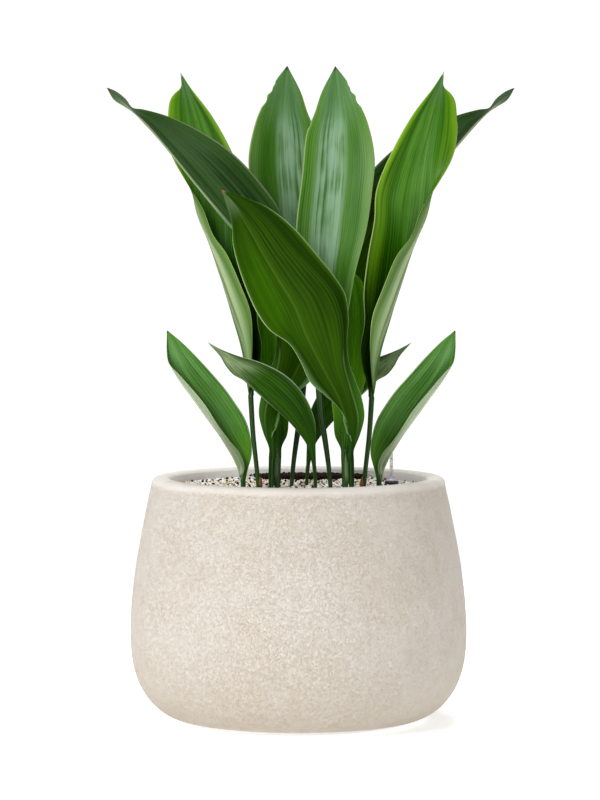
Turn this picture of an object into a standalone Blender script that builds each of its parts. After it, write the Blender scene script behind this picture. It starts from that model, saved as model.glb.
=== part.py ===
"""A cast iron plant in a round-bellied pot: leaves, soil, mineral top dressing and a water-level gauge.

Metres, +Z up. The origin is the centre of the pot's flat base, and the front of the plant faces -Y.
"""

import math

import bmesh
import bpy
import numpy as np

# ---- driving dimensions ----
GAP = 0.0003  # clearance between pieces that touch

POT_HEIGHT = 0.309
POT_WIDEST = 0.215  # radius of the belly
BELLY_HEIGHT = 0.115
BASE_RADIUS = 0.120
MOUTH_RADIUS = 0.164
LIP_FALL = 0.008  # rounding of the lip's outer shoulder
INNER_ROUND = 0.004
LIP_DEPTH = 0.040  # how far the mouth runs straight down
BELLY_ROUNDNESS = 2.5  # exponent of the curve below the belly: 2 is an ellipse
TAPER = 0.415
TAPER_BEND = 1.6
WALL = 0.016
FLOOR = 0.018
FLOOR_ROUND = 0.010
INNER_FLOOR_RADIUS = 0.102
NECK_START = 0.200  # above this the hollow draws in to the mouth
INNER_RINGS = 9
POT_STEPS = 40
AXIS_MERGE = 0.00005

SOIL_TOP = 0.2900
GRANULES_TOP = 0.2965
SOCKET_FLOOR = 0.2550  # how deep the stalks are planted
MOUND_CENTRE = (0.0145, 0.127)
MOUND_RADII = (0.072, 0.026)
MOUND_TOP = 0.3005
MOUND_SIDES = 32
SOCKET_SIDES = 12
CUTTER_OVERRUN = 0.010

PLANT_AT = (0.016, -0.030)  # the clump stands a little right and forward of the pot's axis

GAUGE_AT = (0.119, 0.028)
COLLAR_RADIUS = 0.0088
COLLAR_HEIGHT = 0.0045
CONE_RADIUS = 0.0078
STEM_RADIUS = 0.0060
STEM_FLOOR = 0.2300
CONE_HEIGHT = 0.0065
TUBE_RADIUS = 0.0024
TUBE_BORE = 0.0017
TUBE_HEIGHT = 0.0290
FLOAT_RADIUS = 0.0012
FLOAT_HEIGHT = 0.0040
GAUGE_EDGE = 0.0008
TUBE_ROUND = 0.0006
TUBE_CAP = 0.0010
GAUGE_STEPS = 24
TUBE_STEPS = 16
FLOAT_STEPS = 12

ACROSS = 7  # points across a leaf's upper face
BLADE_RINGS = 16
SHEATH_RINGS = 5
BLADE_THICK = 0.0008
TIP_THINNING = 0.4
RIB_FADE = 0.30  # the share of the blade over which the stalk flattens out
RAIL_PLACES = {3: (0.0, 0.5, 1.0), 4: (0.0, 0.5, 0.75, 1.0)}  # where the rails lie across the blade
CURVE_SAMPLES = 400

# ---- the leaves ----
# Each leaf is drawn as on the right-hand side of the clump: x outward from the clump's axis, z up.
# A rail point is (x, z, back), where back is how far it lies behind the leaf's own depth.
# depth gives (z, y) pairs, first for the right-hand leaf and then for its left-hand twin.
# size and rise, also as (right, left), grow a leaf about its foot and lift it.
LEAVES = {
    "leaf_tall": {
        "rings": 18,
        "size": (1.0, 1.009),
        "stalk": [(0.026, 0.297), (0.0222, 0.324), (0.0175, 0.359), (0.013, 0.387), (0.0105, 0.417)],
        "radii": (0.0022, 0.0045),
        "tip": (0.030, 0.827, 0.0),
        "rails": [
            [(0.004, 0.442, 0.0), (-0.011, 0.505, -0.004), (-0.018, 0.568, -0.008), (-0.019, 0.625, -0.008),
             (-0.012, 0.688, -0.007), (-0.006, 0.742, -0.005), (0.005, 0.770, -0.003), (0.013, 0.794, -0.002)],
            [(0.013, 0.457, 0.003), (0.019, 0.517, 0.006), (0.025, 0.586, 0.006), (0.031, 0.656, 0.005),
             (0.035, 0.719, 0.004), (0.035, 0.775, 0.002)],
            [(0.022, 0.435, 0.0), (0.033, 0.467, -0.003), (0.044, 0.512, -0.006), (0.054, 0.566, -0.008),
             (0.069, 0.624, -0.008), (0.076, 0.671, -0.007), (0.079, 0.711, -0.006), (0.070, 0.757, -0.003),
             (0.058, 0.784, -0.002), (0.044, 0.809, 0.0)],
        ],
        "depth": ([(0.297, -0.010), (0.42, -0.020), (0.56, -0.030), (0.70, -0.028), (0.83, -0.015)],
                  [(0.297, 0.030), (0.42, 0.072), (0.56, 0.092), (0.70, 0.090), (0.83, 0.075)]),
    },
    "leaf_rolled": {
        "size": (1.0, 1.006),
        "stalk": [(0.0640, 0.297), (0.0683, 0.324), (0.0728, 0.366), (0.0757, 0.412)],
        "radii": (0.0026, 0.0034),
        "tip": (0.166, 0.821, 0.0),
        "rails": [
            [(0.070, 0.432, -0.002), (0.065, 0.448, -0.005), (0.0615, 0.474, -0.008), (0.067, 0.508, -0.010),
             (0.065, 0.545, -0.010), (0.070, 0.590, -0.010), (0.078, 0.634, -0.008), (0.081, 0.672, -0.006),
             (0.104, 0.727, -0.003), (0.127, 0.767, -0.002), (0.153, 0.801, -0.001)],
            [(0.078, 0.434, 0.006), (0.080, 0.452, 0.010), (0.086, 0.478, 0.012), (0.097, 0.512, 0.014),
             (0.107, 0.545, 0.014), (0.114, 0.580, 0.012), (0.119, 0.620, 0.009), (0.127, 0.681, 0.005),
             (0.142, 0.742, 0.002), (0.155, 0.787, 0.0)],
            [(0.078, 0.434, -0.004), (0.080, 0.452, -0.006), (0.0855, 0.478, -0.010), (0.096, 0.512, -0.010),
             (0.107, 0.545, -0.008), (0.119, 0.577, -0.006), (0.132, 0.611, -0.005), (0.144, 0.641, -0.005),
             (0.149, 0.676, -0.003), (0.153, 0.715, -0.001), (0.160, 0.760, 0.0), (0.163, 0.793, 0.0)],
            [(0.076, 0.434, -0.010), (0.074, 0.456, -0.018), (0.0735, 0.486, -0.024), (0.076, 0.517, -0.028),
             (0.086, 0.547, -0.030), (0.105, 0.590, -0.028), (0.123, 0.614, -0.024), (0.137, 0.648, -0.018),
             (0.158, 0.680, -0.010), (0.176, 0.713, -0.004), (0.182, 0.740, -0.002), (0.1805, 0.770, -0.001),
             (0.174, 0.792, -0.001), (0.167, 0.805, 0.0)],
        ],
        "depth": ([(0.297, -0.020), (0.45, -0.028), (0.60, -0.032), (0.83, -0.020)],
                  [(0.297, -0.010), (0.45, 0.010), (0.56, 0.037), (0.62, 0.055), (0.70, 0.064), (0.83, 0.080)]),
    },
    "leaf_outer": {
        "size": (1.004, 0.988),
        "rise": (0.0, 0.005),
        "stalk": [(0.046, 0.297), (0.048, 0.348), (0.051, 0.397), (0.053, 0.437)],
        "radii": (0.0026, 0.0036),
        "tip": (0.257, 0.800, -0.004),
        "rails": [
            [(0.042, 0.477, 0.0), (0.031, 0.527, 0.0), (0.029, 0.586, 0.0), (0.037, 0.640, 0.0),
             (0.060, 0.676, 0.0), (0.100, 0.719, 0.0), (0.140, 0.746, 0.0), (0.179, 0.764, -0.002),
             (0.212, 0.773, -0.006), (0.2245, 0.775, -0.007), (0.233, 0.786, -0.008), (0.246, 0.796, -0.006)],
            [(0.050, 0.477, 0.0), (0.049, 0.532, 0.0), (0.064, 0.586, 0.0), (0.104, 0.636, 0.0),
             (0.139, 0.678, 0.0), (0.177, 0.724, 0.0), (0.205, 0.755, -0.001), (0.225, 0.772, -0.002),
             (0.240, 0.787, -0.003)],
            [(0.055, 0.477, 0.003), (0.056, 0.532, 0.002), (0.064, 0.570, 0.002), (0.080, 0.598, 0.003),
             (0.110, 0.634, 0.007),
             (0.145, 0.678, 0.012), (0.181, 0.721, 0.012), (0.207, 0.751, 0.009), (0.2255, 0.770, 0.005),
             (0.236, 0.777, 0.003), (0.248, 0.785, 0.0)],
        ],
        "depth": ([(0.297, 0.070), (0.45, 0.078), (0.60, 0.072), (0.70, 0.062), (0.80, 0.045)],
                  [(0.297, 0.040), (0.40, 0.058), (0.48, 0.066), (0.54, 0.054), (0.577, 0.029), (0.60, 0.015),
                   (0.65, -0.006), (0.72, -0.024), (0.80, -0.040)]),
    },
    "leaf_broad": {
        "stalk": [(0.050, 0.297), (0.0502, 0.316), (0.0495, 0.338)],
        "radii": (0.0028, 0.0038),
        "tip": (-0.110, 0.672, 0.0),
        "rails": [
            [(0.0465, 0.370, 0.0), (0.039, 0.396, 0.001), (0.017, 0.418, 0.002), (-0.001, 0.434, 0.002),
             (-0.014, 0.461, 0.002), (-0.027, 0.482, 0.002), (-0.051, 0.499, 0.002), (-0.066, 0.519, 0.003),
             (-0.084, 0.560, 0.004), (-0.096, 0.603, 0.004), (-0.098, 0.632, 0.003), (-0.106, 0.660, 0.001)],
            [(0.0475, 0.370, 0.0), (0.036, 0.410, 0.004), (0.017, 0.447, 0.007), (-0.006, 0.493, 0.008),
             (-0.021, 0.530, 0.008), (-0.040, 0.561, 0.008), (-0.061, 0.596, 0.006), (-0.078, 0.626, 0.004),
             (-0.098, 0.657, 0.001)],
            [(0.053, 0.364, 0.0), (0.053, 0.391, 0.0), (0.046, 0.425, 0.0), (0.038, 0.459, 0.0),
             (0.036, 0.489, 0.0), (0.031, 0.519, 0.0), (0.020, 0.545, 0.0), (0.000, 0.570, 0.0),
             (-0.028, 0.603, 0.0), (-0.055, 0.636, 0.0), (-0.084, 0.659, 0.0)],
            [(0.053, 0.348, 0.0), (0.0605, 0.368, 0.001), (0.066, 0.392, 0.002), (0.062, 0.417, 0.006),
             (0.054, 0.439, 0.012), (0.047, 0.461, 0.016), (0.0445, 0.487, 0.018), (0.046, 0.513, 0.018),
             (0.042, 0.543, 0.014), (0.031, 0.562, 0.008), (0.006, 0.594, 0.002), (-0.021, 0.625, 0.0),
             (-0.054, 0.651, 0.0), (-0.085, 0.664, 0.0)],
        ],
        "depth": ([(0.297, -0.045), (0.36, -0.055), (0.45, -0.078), (0.55, -0.094), (0.68, -0.110)],
                  [(0.297, -0.012), (0.36, -0.006), (0.45, 0.008), (0.55, 0.016), (0.68, 0.036)]),
    },
    "leaf_inner": {
        "stalk": [(0.042, 0.297), (0.0415, 0.316), (0.041, 0.336)],
        "radii": (0.0024, 0.0034),
        "tip": (0.050, 0.573, 0.0),
        "rails": [
            [(0.037, 0.348, -0.001), (0.030, 0.364, -0.003), (0.028, 0.387, -0.005), (0.024, 0.427, -0.006),
             (0.024, 0.477, -0.006), (0.033, 0.537, -0.004)],
            [(0.0415, 0.360, 0.0), (0.044, 0.387, 0.002), (0.048, 0.431, 0.003), (0.050, 0.480, 0.003),
             (0.052, 0.531, 0.002)],
            [(0.045, 0.348, -0.001), (0.051, 0.373, -0.003), (0.059, 0.399, -0.005), (0.067, 0.429, -0.006),
             (0.074, 0.465, -0.006), (0.077, 0.502, -0.005), (0.073, 0.534, -0.003), (0.064, 0.558, -0.001)],
        ],
        "depth": ([(0.297, -0.015), (0.40, -0.004), (0.50, 0.000), (0.58, 0.000)],
                  [(0.297, 0.006), (0.40, 0.030), (0.50, 0.046), (0.54, 0.040), (0.58, 0.014)]),
    },
    "leaf_low": {
        "stalk": [(0.0855, 0.297), (0.0857, 0.302), (0.0860, 0.307)],
        "radii": (0.0026, 0.0034),
        "tip": (0.180, 0.497, 0.0),
        "rails": [
            [(0.080, 0.320, -0.001), (0.0750, 0.340, -0.002), (0.076, 0.360, -0.003), (0.083, 0.385, -0.004),
             (0.099, 0.411, -0.004), (0.119, 0.436, -0.004), (0.140, 0.460, -0.003), (0.162, 0.482, -0.001)],
            [(0.0885, 0.322, 0.003), (0.095, 0.336, 0.006), (0.106, 0.352, 0.009), (0.120, 0.372, 0.010),
             (0.135, 0.393, 0.010), (0.149, 0.413, 0.008), (0.163, 0.433, 0.006), (0.173, 0.452, 0.004),
             (0.178, 0.474, 0.001)],
            [(0.084, 0.323, -0.006), (0.089, 0.341, -0.012), (0.101, 0.357, -0.017), (0.116, 0.379, -0.020),
             (0.132, 0.402, -0.020), (0.149, 0.424, -0.018), (0.166, 0.443, -0.012), (0.178, 0.456, -0.006),
             (0.181, 0.474, -0.002)],
        ],
        "depth": ([(0.297, 0.0), (0.36, -0.004), (0.50, -0.022)],
                  [(0.297, 0.0), (0.36, -0.004), (0.50, -0.022)]),
    },
    "leaf_arching": {
        "rise": (0.0, 0.0045),
        "stalk": [(-0.0055, 0.297), (-0.005, 0.310), (-0.0035, 0.325)],
        "radii": (0.0019, 0.0026),
        "tip": (0.129, 0.480, 0.0),
        "rails": [
            [(-0.0055, 0.347, 0.0), (-0.005, 0.377, 0.0), (0.002, 0.400, 0.0), (0.013, 0.419, 0.0),
             (0.028, 0.435, 0.0), (0.047, 0.447, 0.0), (0.068, 0.456, 0.0), (0.089, 0.462, 0.0),
             (0.110, 0.470, 0.0)],
            [(0.0005, 0.345, 0.0), (0.006, 0.357, 0.0), (0.015, 0.370, 0.0), (0.029, 0.387, 0.0),
             (0.047, 0.405, 0.0), (0.067, 0.424, 0.0), (0.082, 0.438, 0.0), (0.096, 0.451, 0.0),
             (0.110, 0.465, 0.0)],
            [(0.003, 0.343, 0.002), (0.008, 0.354, 0.004), (0.018, 0.367, 0.006), (0.032, 0.382, 0.008),
             (0.050, 0.399, 0.009), (0.069, 0.416, 0.010), (0.085, 0.431, 0.010), (0.097, 0.438, 0.007),
             (0.106, 0.449, 0.004), (0.113, 0.462, 0.002)],
        ],
        "depth": ([(0.297, 0.040), (0.40, 0.034), (0.49, 0.046)],
                  [(0.297, -0.034), (0.40, -0.044), (0.49, -0.078)]),
    },
    "sheath_brown": {
        "rings": SHEATH_RINGS,
        "stalk": [(0.0632, 0.2975), (0.0632, 0.300)],
        "radii": (0.0016, 0.0018),
        "tip": (0.0644, 0.3145, 0.0),
        "rails": [
            [(0.0610, 0.3035, 0.001), (0.0616, 0.309, 0.0005)],
            [(0.0632, 0.3035, 0.0), (0.0635, 0.309, 0.0)],
            [(0.0656, 0.3035, 0.001), (0.0653, 0.309, 0.0005)],
        ],
        "depth": ([(0.297, -0.0258), (0.315, -0.0256)],
                  [(0.297, -0.0158), (0.315, -0.0152)]),
    },
    "sheath_green": {
        "rings": SHEATH_RINGS,
        "stalk": [(0.0446, 0.2975), (0.0446, 0.306)],
        "radii": (0.0016, 0.0018),
        "tip": (0.0425, 0.3475, 0.0),
        "rails": [
            [(0.0425, 0.314, 0.001), (0.0420, 0.330, 0.001)],
            [(0.0446, 0.314, 0.0), (0.0438, 0.330, 0.0)],
            [(0.0466, 0.314, 0.001), (0.0455, 0.330, 0.001)],
        ],
        "depth": ([(0.297, -0.0260), (0.35, -0.0240)],
                  [(0.297, -0.0060), (0.35, 0.0000)]),
    },
}

FINISHES = {  # colour and roughness
    "leaf_tall": ((0.10, 0.26, 0.07), 0.4),
    "leaf_rolled": ((0.12, 0.27, 0.04), 0.4),
    "leaf_outer": ((0.05, 0.12, 0.04), 0.4),
    "leaf_broad": ((0.04, 0.13, 0.01), 0.4),
    "leaf_inner": ((0.05, 0.16, 0.01), 0.4),
    "leaf_low": ((0.06, 0.18, 0.03), 0.4),
    "leaf_arching": ((0.06, 0.16, 0.02), 0.4),
    "sheath_brown": ((0.20, 0.09, 0.03), 0.6),
    "sheath_green": ((0.20, 0.30, 0.12), 0.5),
    "pot": ((0.76, 0.70, 0.60), 0.8),
    "soil": ((0.035, 0.025, 0.018), 0.95),
    "granules": ((0.62, 0.56, 0.48), 0.8),
    "gauge_dark": ((0.03, 0.03, 0.04), 0.35),
    "gauge_clear": ((0.75, 0.75, 0.82), 0.15),
    "gauge_red": ((0.60, 0.03, 0.02), 0.4),
    "cutter": ((0.80, 0.20, 0.20), 0.5),
}


# ---- curves ----
def hermite(knots, values, at):
    """A smooth curve through values at knots, read at the places in at."""
    slopes = np.gradient(values, knots, axis=0)
    i = np.clip(np.searchsorted(knots, at, side="right") - 1, 0, len(knots) - 2)
    width = (knots[i + 1] - knots[i])[:, None]
    s = (at - knots[i])[:, None] / width
    return (
        (1 + 2 * s) * (1 - s) ** 2 * values[i]
        + s * (1 - s) ** 2 * width * slopes[i]
        + s**2 * (3 - 2 * s) * values[i + 1]
        + s**2 * (s - 1) * width * slopes[i + 1]
    )


def along(points, shares):
    """Points at the given shares of the length of a smooth curve through points."""
    points = np.array(points, float)
    steps = np.sqrt(np.linalg.norm(np.diff(points, axis=0), axis=1))
    knots = np.concatenate([[0.0], np.cumsum(steps)])
    dense = hermite(knots, points, np.linspace(0, knots[-1], CURVE_SAMPLES))
    lengths = np.concatenate([[0.0], np.cumsum(np.linalg.norm(np.diff(dense, axis=0), axis=1))])
    return np.stack([np.interp(np.array(shares) * lengths[-1], lengths, dense[:, k]) for k in range(3)], 1)


def smoothstep(x):
    x = np.clip(x, 0.0, 1.0)
    return x * x * (3 - 2 * x)


# ---- leaves ----
def placed(leaf, points, side):
    """(x, z, back) points of a leaf as world points, on the side +1 or -1 of the clump."""
    copy = 0 if side > 0 else 1
    size = leaf.get("size", (1.0, 1.0))[copy]
    rise = leaf.get("rise", (0.0, 0.0))[copy]
    points = np.array([(*point, 0.0)[:3] for point in points], float)
    heights, depths = np.array(leaf["depth"][copy], float).T
    y = PLANT_AT[1] + hermite(heights, depths[:, None], points[:, 1])[:, 0] + points[:, 2]
    x = PLANT_AT[0] + side * points[:, 0] * size
    z = SOIL_TOP + (points[:, 1] - SOIL_TOP) * size + rise
    return np.stack([x, y, z], 1)


def ring(middle, normals, thickness):
    """A closed ring round a leaf's section: over the upper face, then back under it."""
    half = normals * thickness[:, None] / 2
    return np.concatenate([middle + half, (middle - half)[-2:0:-1]])


def stalk_rings(centres, radii, side):
    """Rings round the stalk, upright in the soil and then along its own curve."""
    turn = np.linspace(0, math.pi, ACROSS)
    rings = []
    for k, centre in enumerate(centres):
        ahead = centres[min(k + 1, len(centres) - 1)] - centres[max(k - 1, 0)]
        ahead = ahead / np.linalg.norm(ahead)
        outward = np.array([side, 0.0, 0.0])
        outward = outward - ahead * outward.dot(ahead)
        outward /= np.linalg.norm(outward)
        front = np.cross(outward, ahead) * side
        middle = centre - outward * np.cos(turn)[:, None] * radii[k]
        rings.append(ring(middle, np.tile(front, (ACROSS, 1)), 2 * radii[k] * np.sin(turn)))
    return rings


def blade_rings(leaf, side, stalk_top):
    """Rings from the head of the stalk to just short of the tip, through the leaf's rails, and the tip."""
    turn = np.linspace(0, math.pi, ACROSS)
    flat = np.linspace(0, 1, ACROSS)
    rounded = (1 - np.cos(turn)) / 2
    radius = leaf["radii"][1]
    shares = np.linspace(0, 1, leaf.get("rings", BLADE_RINGS) + 1)
    tip = placed(leaf, [leaf["tip"]], side)
    count = len(leaf["rails"])
    rails = []
    for k, rail in enumerate(leaf["rails"]):
        start = stalk_top + np.array([side * radius * (2 * k / (count - 1) - 1), 0.0, 0.0])
        rails.append(along(np.concatenate([[start], placed(leaf, rail, side), tip]), shares))
    rails = np.array(rails)
    knots = np.array(RAIL_PLACES[count])
    surface = []
    for step, share in enumerate(shares):
        mix = smoothstep(share / RIB_FADE)
        surface.append(hermite(knots, rails[:, step], (1 - mix) * rounded + mix * flat))
    surface = np.array(surface)
    lengthways = np.gradient(surface, axis=0)
    crossways = np.gradient(surface, axis=1)
    crossways[-1] = crossways[-2]
    normals = np.cross(crossways, lengthways) * side
    normals /= np.linalg.norm(normals, axis=2, keepdims=True)
    rings = []
    for step, share in enumerate(shares[:-1]):
        mix = smoothstep(share / RIB_FADE)
        blade = BLADE_THICK * np.sqrt(np.sin(turn)) * (1 - TIP_THINNING * share)
        thickness = (1 - mix) * 2 * radius * np.sin(turn) + mix * blade
        rings.append(ring(surface[step], normals[step], thickness))
    return rings, tip[0]


def loft(rings, tip):
    """A closed mesh through rings of equal count, capped at the foot and pointed at the tip.

    Both sides of the blade are split along the same diagonals, so that so thin a leaf never crosses itself.
    """
    mesh = bmesh.new()
    loops = [[mesh.verts.new(point) for point in points] for points in rings]
    peak = mesh.verts.new(tip)
    count = len(loops[0])
    mesh.faces.new(loops[0])
    for low, high in zip(loops, loops[1:]):
        for k in range(count):
            n = (k + 1) % count
            if k < count // 2:
                mesh.faces.new((low[k], low[n], high[n]))
                mesh.faces.new((low[k], high[n], high[k]))
            else:
                mesh.faces.new((low[k], low[n], high[k]))
                mesh.faces.new((low[n], high[n], high[k]))
    for k in range(count):
        mesh.faces.new((loops[-1][k], loops[-1][(k + 1) % count], peak))
    bmesh.ops.recalc_face_normals(mesh, faces=mesh.faces)
    return mesh


def make_leaf(kind, side):
    """Adds one leaf and returns where its stalk enters the soil, as (x, y, radius)."""
    leaf = LEAVES[kind]
    stalk = placed(leaf, leaf["stalk"], side)
    centres = along(stalk, np.linspace(0, 1, len(stalk) + 1))[:-1]
    foot = centres[0] * [1, 1, 0] + [0, 0, SOCKET_FLOOR + GAP]
    centres = np.concatenate([[foot], centres])
    low, high = leaf["radii"]
    radii = np.concatenate([[low], np.linspace(low, high, len(centres))[:-1]])
    blade, tip = blade_rings(leaf, side, stalk[-1])
    mesh = loft(stalk_rings(centres, radii, side) + blade, tip)
    add_object(f"{kind}_{'right' if side > 0 else 'left'}", mesh, kind)
    return foot[0], foot[1], low


# ---- objects ----
def clear_scene():
    for obj in list(bpy.data.objects):
        bpy.data.objects.remove(obj)
    for child in list(bpy.context.scene.collection.children):
        bpy.context.scene.collection.children.unlink(child)


def collection(name):
    made = bpy.data.collections.new(name)
    bpy.context.scene.collection.children.link(made)
    return made


def material(name):
    made = bpy.data.materials.get(name)
    if made is None:
        made = bpy.data.materials.new(name)
        made.use_nodes = True
        colour, roughness = FINISHES[name]
        shader = made.node_tree.nodes["Principled BSDF"]
        shader.inputs["Base Color"].default_value = (*colour, 1.0)
        shader.inputs["Roughness"].default_value = roughness
    return made


def add_object(name, mesh, finish, into="potted_cast_iron_plant"):
    data = bpy.data.meshes.new(name)
    mesh.to_mesh(data)
    mesh.free()
    data.shade_smooth()
    data.materials.append(material(finish))
    obj = bpy.data.objects.new(name, data)
    bpy.data.collections[into].objects.link(obj)
    return obj


def turned(name, profile, finish, at=(0.0, 0.0), steps=POT_STEPS):
    """A turned piece: profile is (radius, height) points, up the inside and down the outside."""
    mesh = bmesh.new()
    points = [mesh.verts.new((radius, 0.0, height)) for radius, height in profile]
    for first, second in zip(points, points[1:]):
        mesh.edges.new((first, second))
    obj = add_object(name, mesh, finish)
    obj.location = (*at, 0.0)
    screw = obj.modifiers.new("turn", "SCREW")
    screw.steps = screw.render_steps = steps
    screw.use_merge_vertices = True
    screw.merge_threshold = AXIS_MERGE
    return obj


def add_cutter(name, mesh):
    cutter = add_object(name, mesh, "cutter", "cutters")
    cutter.hide_render = True
    cutter.display_type = "WIRE"
    return cutter


def upright(mesh, centre, radii, bottom, top, sides):
    """Adds an upright cylinder, round or oval, to a mesh."""
    made = bmesh.ops.create_cone(mesh, cap_ends=True, segments=sides, radius1=1, radius2=1, depth=1)
    bmesh.ops.scale(mesh, vec=(radii[0], radii[1], top - bottom), verts=made["verts"])
    bmesh.ops.translate(mesh, vec=(*centre, (top + bottom) / 2), verts=made["verts"])


def boolean(obj, operation, cutter):
    change = obj.modifiers.new(operation.lower(), "BOOLEAN")
    change.solver = "EXACT"
    change.operation = operation
    change.object = cutter


# ---- the pot and what fills it ----
def outer_radius(height):
    """The pot's outer radius: a full belly below, and a slow taper to the lip above it."""
    if height < BELLY_HEIGHT:
        fall = ((BELLY_HEIGHT - height) / BELLY_HEIGHT) ** BELLY_ROUNDNESS
        return BASE_RADIUS + (POT_WIDEST - BASE_RADIUS) * (1 - fall) ** (1 / BELLY_ROUNDNESS)
    return POT_WIDEST - TAPER * (height - BELLY_HEIGHT) ** TAPER_BEND


def inner_profile(shrink=0.0):
    """The hollow's profile from the centre of its floor up to the foot of the straight mouth."""
    points = [(0.0, FLOOR + shrink), (INNER_FLOOR_RADIUS, FLOOR + shrink)]
    throat = POT_HEIGHT - LIP_DEPTH
    for height in np.linspace(FLOOR + FLOOR_ROUND, throat, INNER_RINGS):
        taper = smoothstep((height - NECK_START) / (throat - NECK_START))
        radius = (1 - taper) * (outer_radius(height) - WALL) + taper * MOUTH_RADIUS
        points.append((radius - shrink, height))
    return points


def make_pot():
    profile = inner_profile()
    for angle in np.linspace(0, math.pi / 2, 4):
        profile.append((MOUTH_RADIUS + INNER_ROUND * (1 - math.cos(angle)),
                        POT_HEIGHT - INNER_ROUND * (1 - math.sin(angle))))
    shoulder = outer_radius(POT_HEIGHT - LIP_FALL)
    for angle in np.linspace(0, math.pi / 2, 5):
        profile.append((shoulder - LIP_FALL * (1 - math.sin(angle)),
                        POT_HEIGHT - LIP_FALL * (1 - math.cos(angle))))
    for height in np.linspace(POT_HEIGHT - LIP_FALL, BELLY_HEIGHT, 7)[1:]:
        profile.append((outer_radius(height), height))
    for angle in np.linspace(0, math.pi / 2, 9)[1:-1]:
        height = BELLY_HEIGHT * (1 - math.sin(angle) ** 0.8)  # rings close up towards the base
        profile.append((outer_radius(height), height))
    profile += [(BASE_RADIUS, 0.0), (0.0, 0.0)]
    turned("pot", profile, "pot")


def make_soil():
    profile = inner_profile(GAP) + [(MOUTH_RADIUS - GAP, SOIL_TOP), (0.0, SOIL_TOP)]
    soil = turned("potting_soil", profile[::-1], "soil")
    mound = bmesh.new()
    radii = [radius - GAP for radius in MOUND_RADII]
    upright(mound, MOUND_CENTRE, radii, SOIL_TOP - CUTTER_OVERRUN, MOUND_TOP, MOUND_SIDES)
    boolean(soil, "UNION", add_cutter("soil_mound", mound))
    return soil


def make_granules():
    mesh = bmesh.new()
    upright(mesh, (0, 0), [MOUTH_RADIUS - GAP] * 2, SOIL_TOP + GAP, GRANULES_TOP, POT_STEPS)
    granules = add_object("mineral_granules", mesh, "granules")
    patch = bmesh.new()
    bottom = SOIL_TOP - CUTTER_OVERRUN
    top = MOUND_TOP + CUTTER_OVERRUN
    upright(patch, MOUND_CENTRE, MOUND_RADII, bottom, top, MOUND_SIDES)
    boolean(granules, "DIFFERENCE", add_cutter("mound_clearance", patch))
    return granules


def make_gauge():
    seat = GRANULES_TOP + GAP
    rim = seat + COLLAR_HEIGHT
    turned("gauge_collar",
           [(0.0, rim), (COLLAR_RADIUS - GAUGE_EDGE, rim), (COLLAR_RADIUS, rim - GAUGE_EDGE),
            (COLLAR_RADIUS, seat), (STEM_RADIUS, seat), (STEM_RADIUS, STEM_FLOOR + GAP),
            (0.0, STEM_FLOOR + GAP)],
           "gauge_dark", GAUGE_AT, GAUGE_STEPS)
    foot = rim + GAP
    head = foot + CONE_HEIGHT
    turned("gauge_cone",
           [(0.0, head), (TUBE_RADIUS, head), (TUBE_RADIUS + 0.0010, head - 0.0012),
            (CONE_RADIUS, foot + GAUGE_EDGE), (CONE_RADIUS, foot), (0.0, foot)],
           "gauge_clear", GAUGE_AT, GAUGE_STEPS)
    base = head + GAP
    crown = base + TUBE_HEIGHT
    turned("gauge_tube",
           [(0.0, crown), (TUBE_RADIUS - TUBE_ROUND, crown), (TUBE_RADIUS, crown - TUBE_ROUND),
            (TUBE_RADIUS, base), (TUBE_BORE, base), (TUBE_BORE, crown - TUBE_CAP), (0.0, crown - TUBE_CAP)],
           "gauge_clear", GAUGE_AT, TUBE_STEPS)
    turned("gauge_float",
           [(0.0, base + FLOAT_HEIGHT), (FLOAT_RADIUS, base + FLOAT_HEIGHT), (FLOAT_RADIUS, base),
            (0.0, base)],
           "gauge_red", GAUGE_AT, FLOAT_STEPS)


def sockets(feet):
    """One cutter with a socket for every stalk and for the gauge's stem."""
    mesh = bmesh.new()
    for x, y, radius in feet:
        upright(mesh, (x, y), [radius + GAP] * 2, SOCKET_FLOOR, POT_HEIGHT, SOCKET_SIDES)
    upright(mesh, GAUGE_AT, [STEM_RADIUS + GAP] * 2, STEM_FLOOR, POT_HEIGHT, GAUGE_STEPS)
    return add_cutter("sockets", mesh)


def main():
    clear_scene()
    collection("potted_cast_iron_plant")
    collection("cutters").hide_render = True
    make_pot()
    soil = make_soil()
    granules = make_granules()
    make_gauge()
    cutter = sockets([make_leaf(kind, side) for kind in LEAVES for side in (1, -1)])
    boolean(soil, "DIFFERENCE", cutter)
    boolean(granules, "DIFFERENCE", cutter)


main()
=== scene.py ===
# The looks of a potted cast iron plant: leaves, top dressing, soil crumbs, water gauge and stucco pot.
# Metres, +Z up, in the row frame. The front of the plant faces -Y.

import math

import bpy
import numpy as np
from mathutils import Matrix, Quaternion, Vector, noise


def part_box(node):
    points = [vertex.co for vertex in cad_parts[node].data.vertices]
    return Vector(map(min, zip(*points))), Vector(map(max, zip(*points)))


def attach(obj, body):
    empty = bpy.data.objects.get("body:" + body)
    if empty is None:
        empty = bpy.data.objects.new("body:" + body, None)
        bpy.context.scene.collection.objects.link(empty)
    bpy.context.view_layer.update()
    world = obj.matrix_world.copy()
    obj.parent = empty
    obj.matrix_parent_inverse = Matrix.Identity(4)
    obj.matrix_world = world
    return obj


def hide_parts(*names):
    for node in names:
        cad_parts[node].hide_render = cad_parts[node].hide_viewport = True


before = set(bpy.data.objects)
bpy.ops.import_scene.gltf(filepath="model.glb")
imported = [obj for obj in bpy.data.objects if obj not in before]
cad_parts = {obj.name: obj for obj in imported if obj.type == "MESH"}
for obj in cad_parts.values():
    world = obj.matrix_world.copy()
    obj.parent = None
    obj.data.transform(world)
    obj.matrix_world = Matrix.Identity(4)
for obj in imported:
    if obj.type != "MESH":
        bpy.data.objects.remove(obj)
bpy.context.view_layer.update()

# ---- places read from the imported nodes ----
POT_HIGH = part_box("pot")[1]
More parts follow.
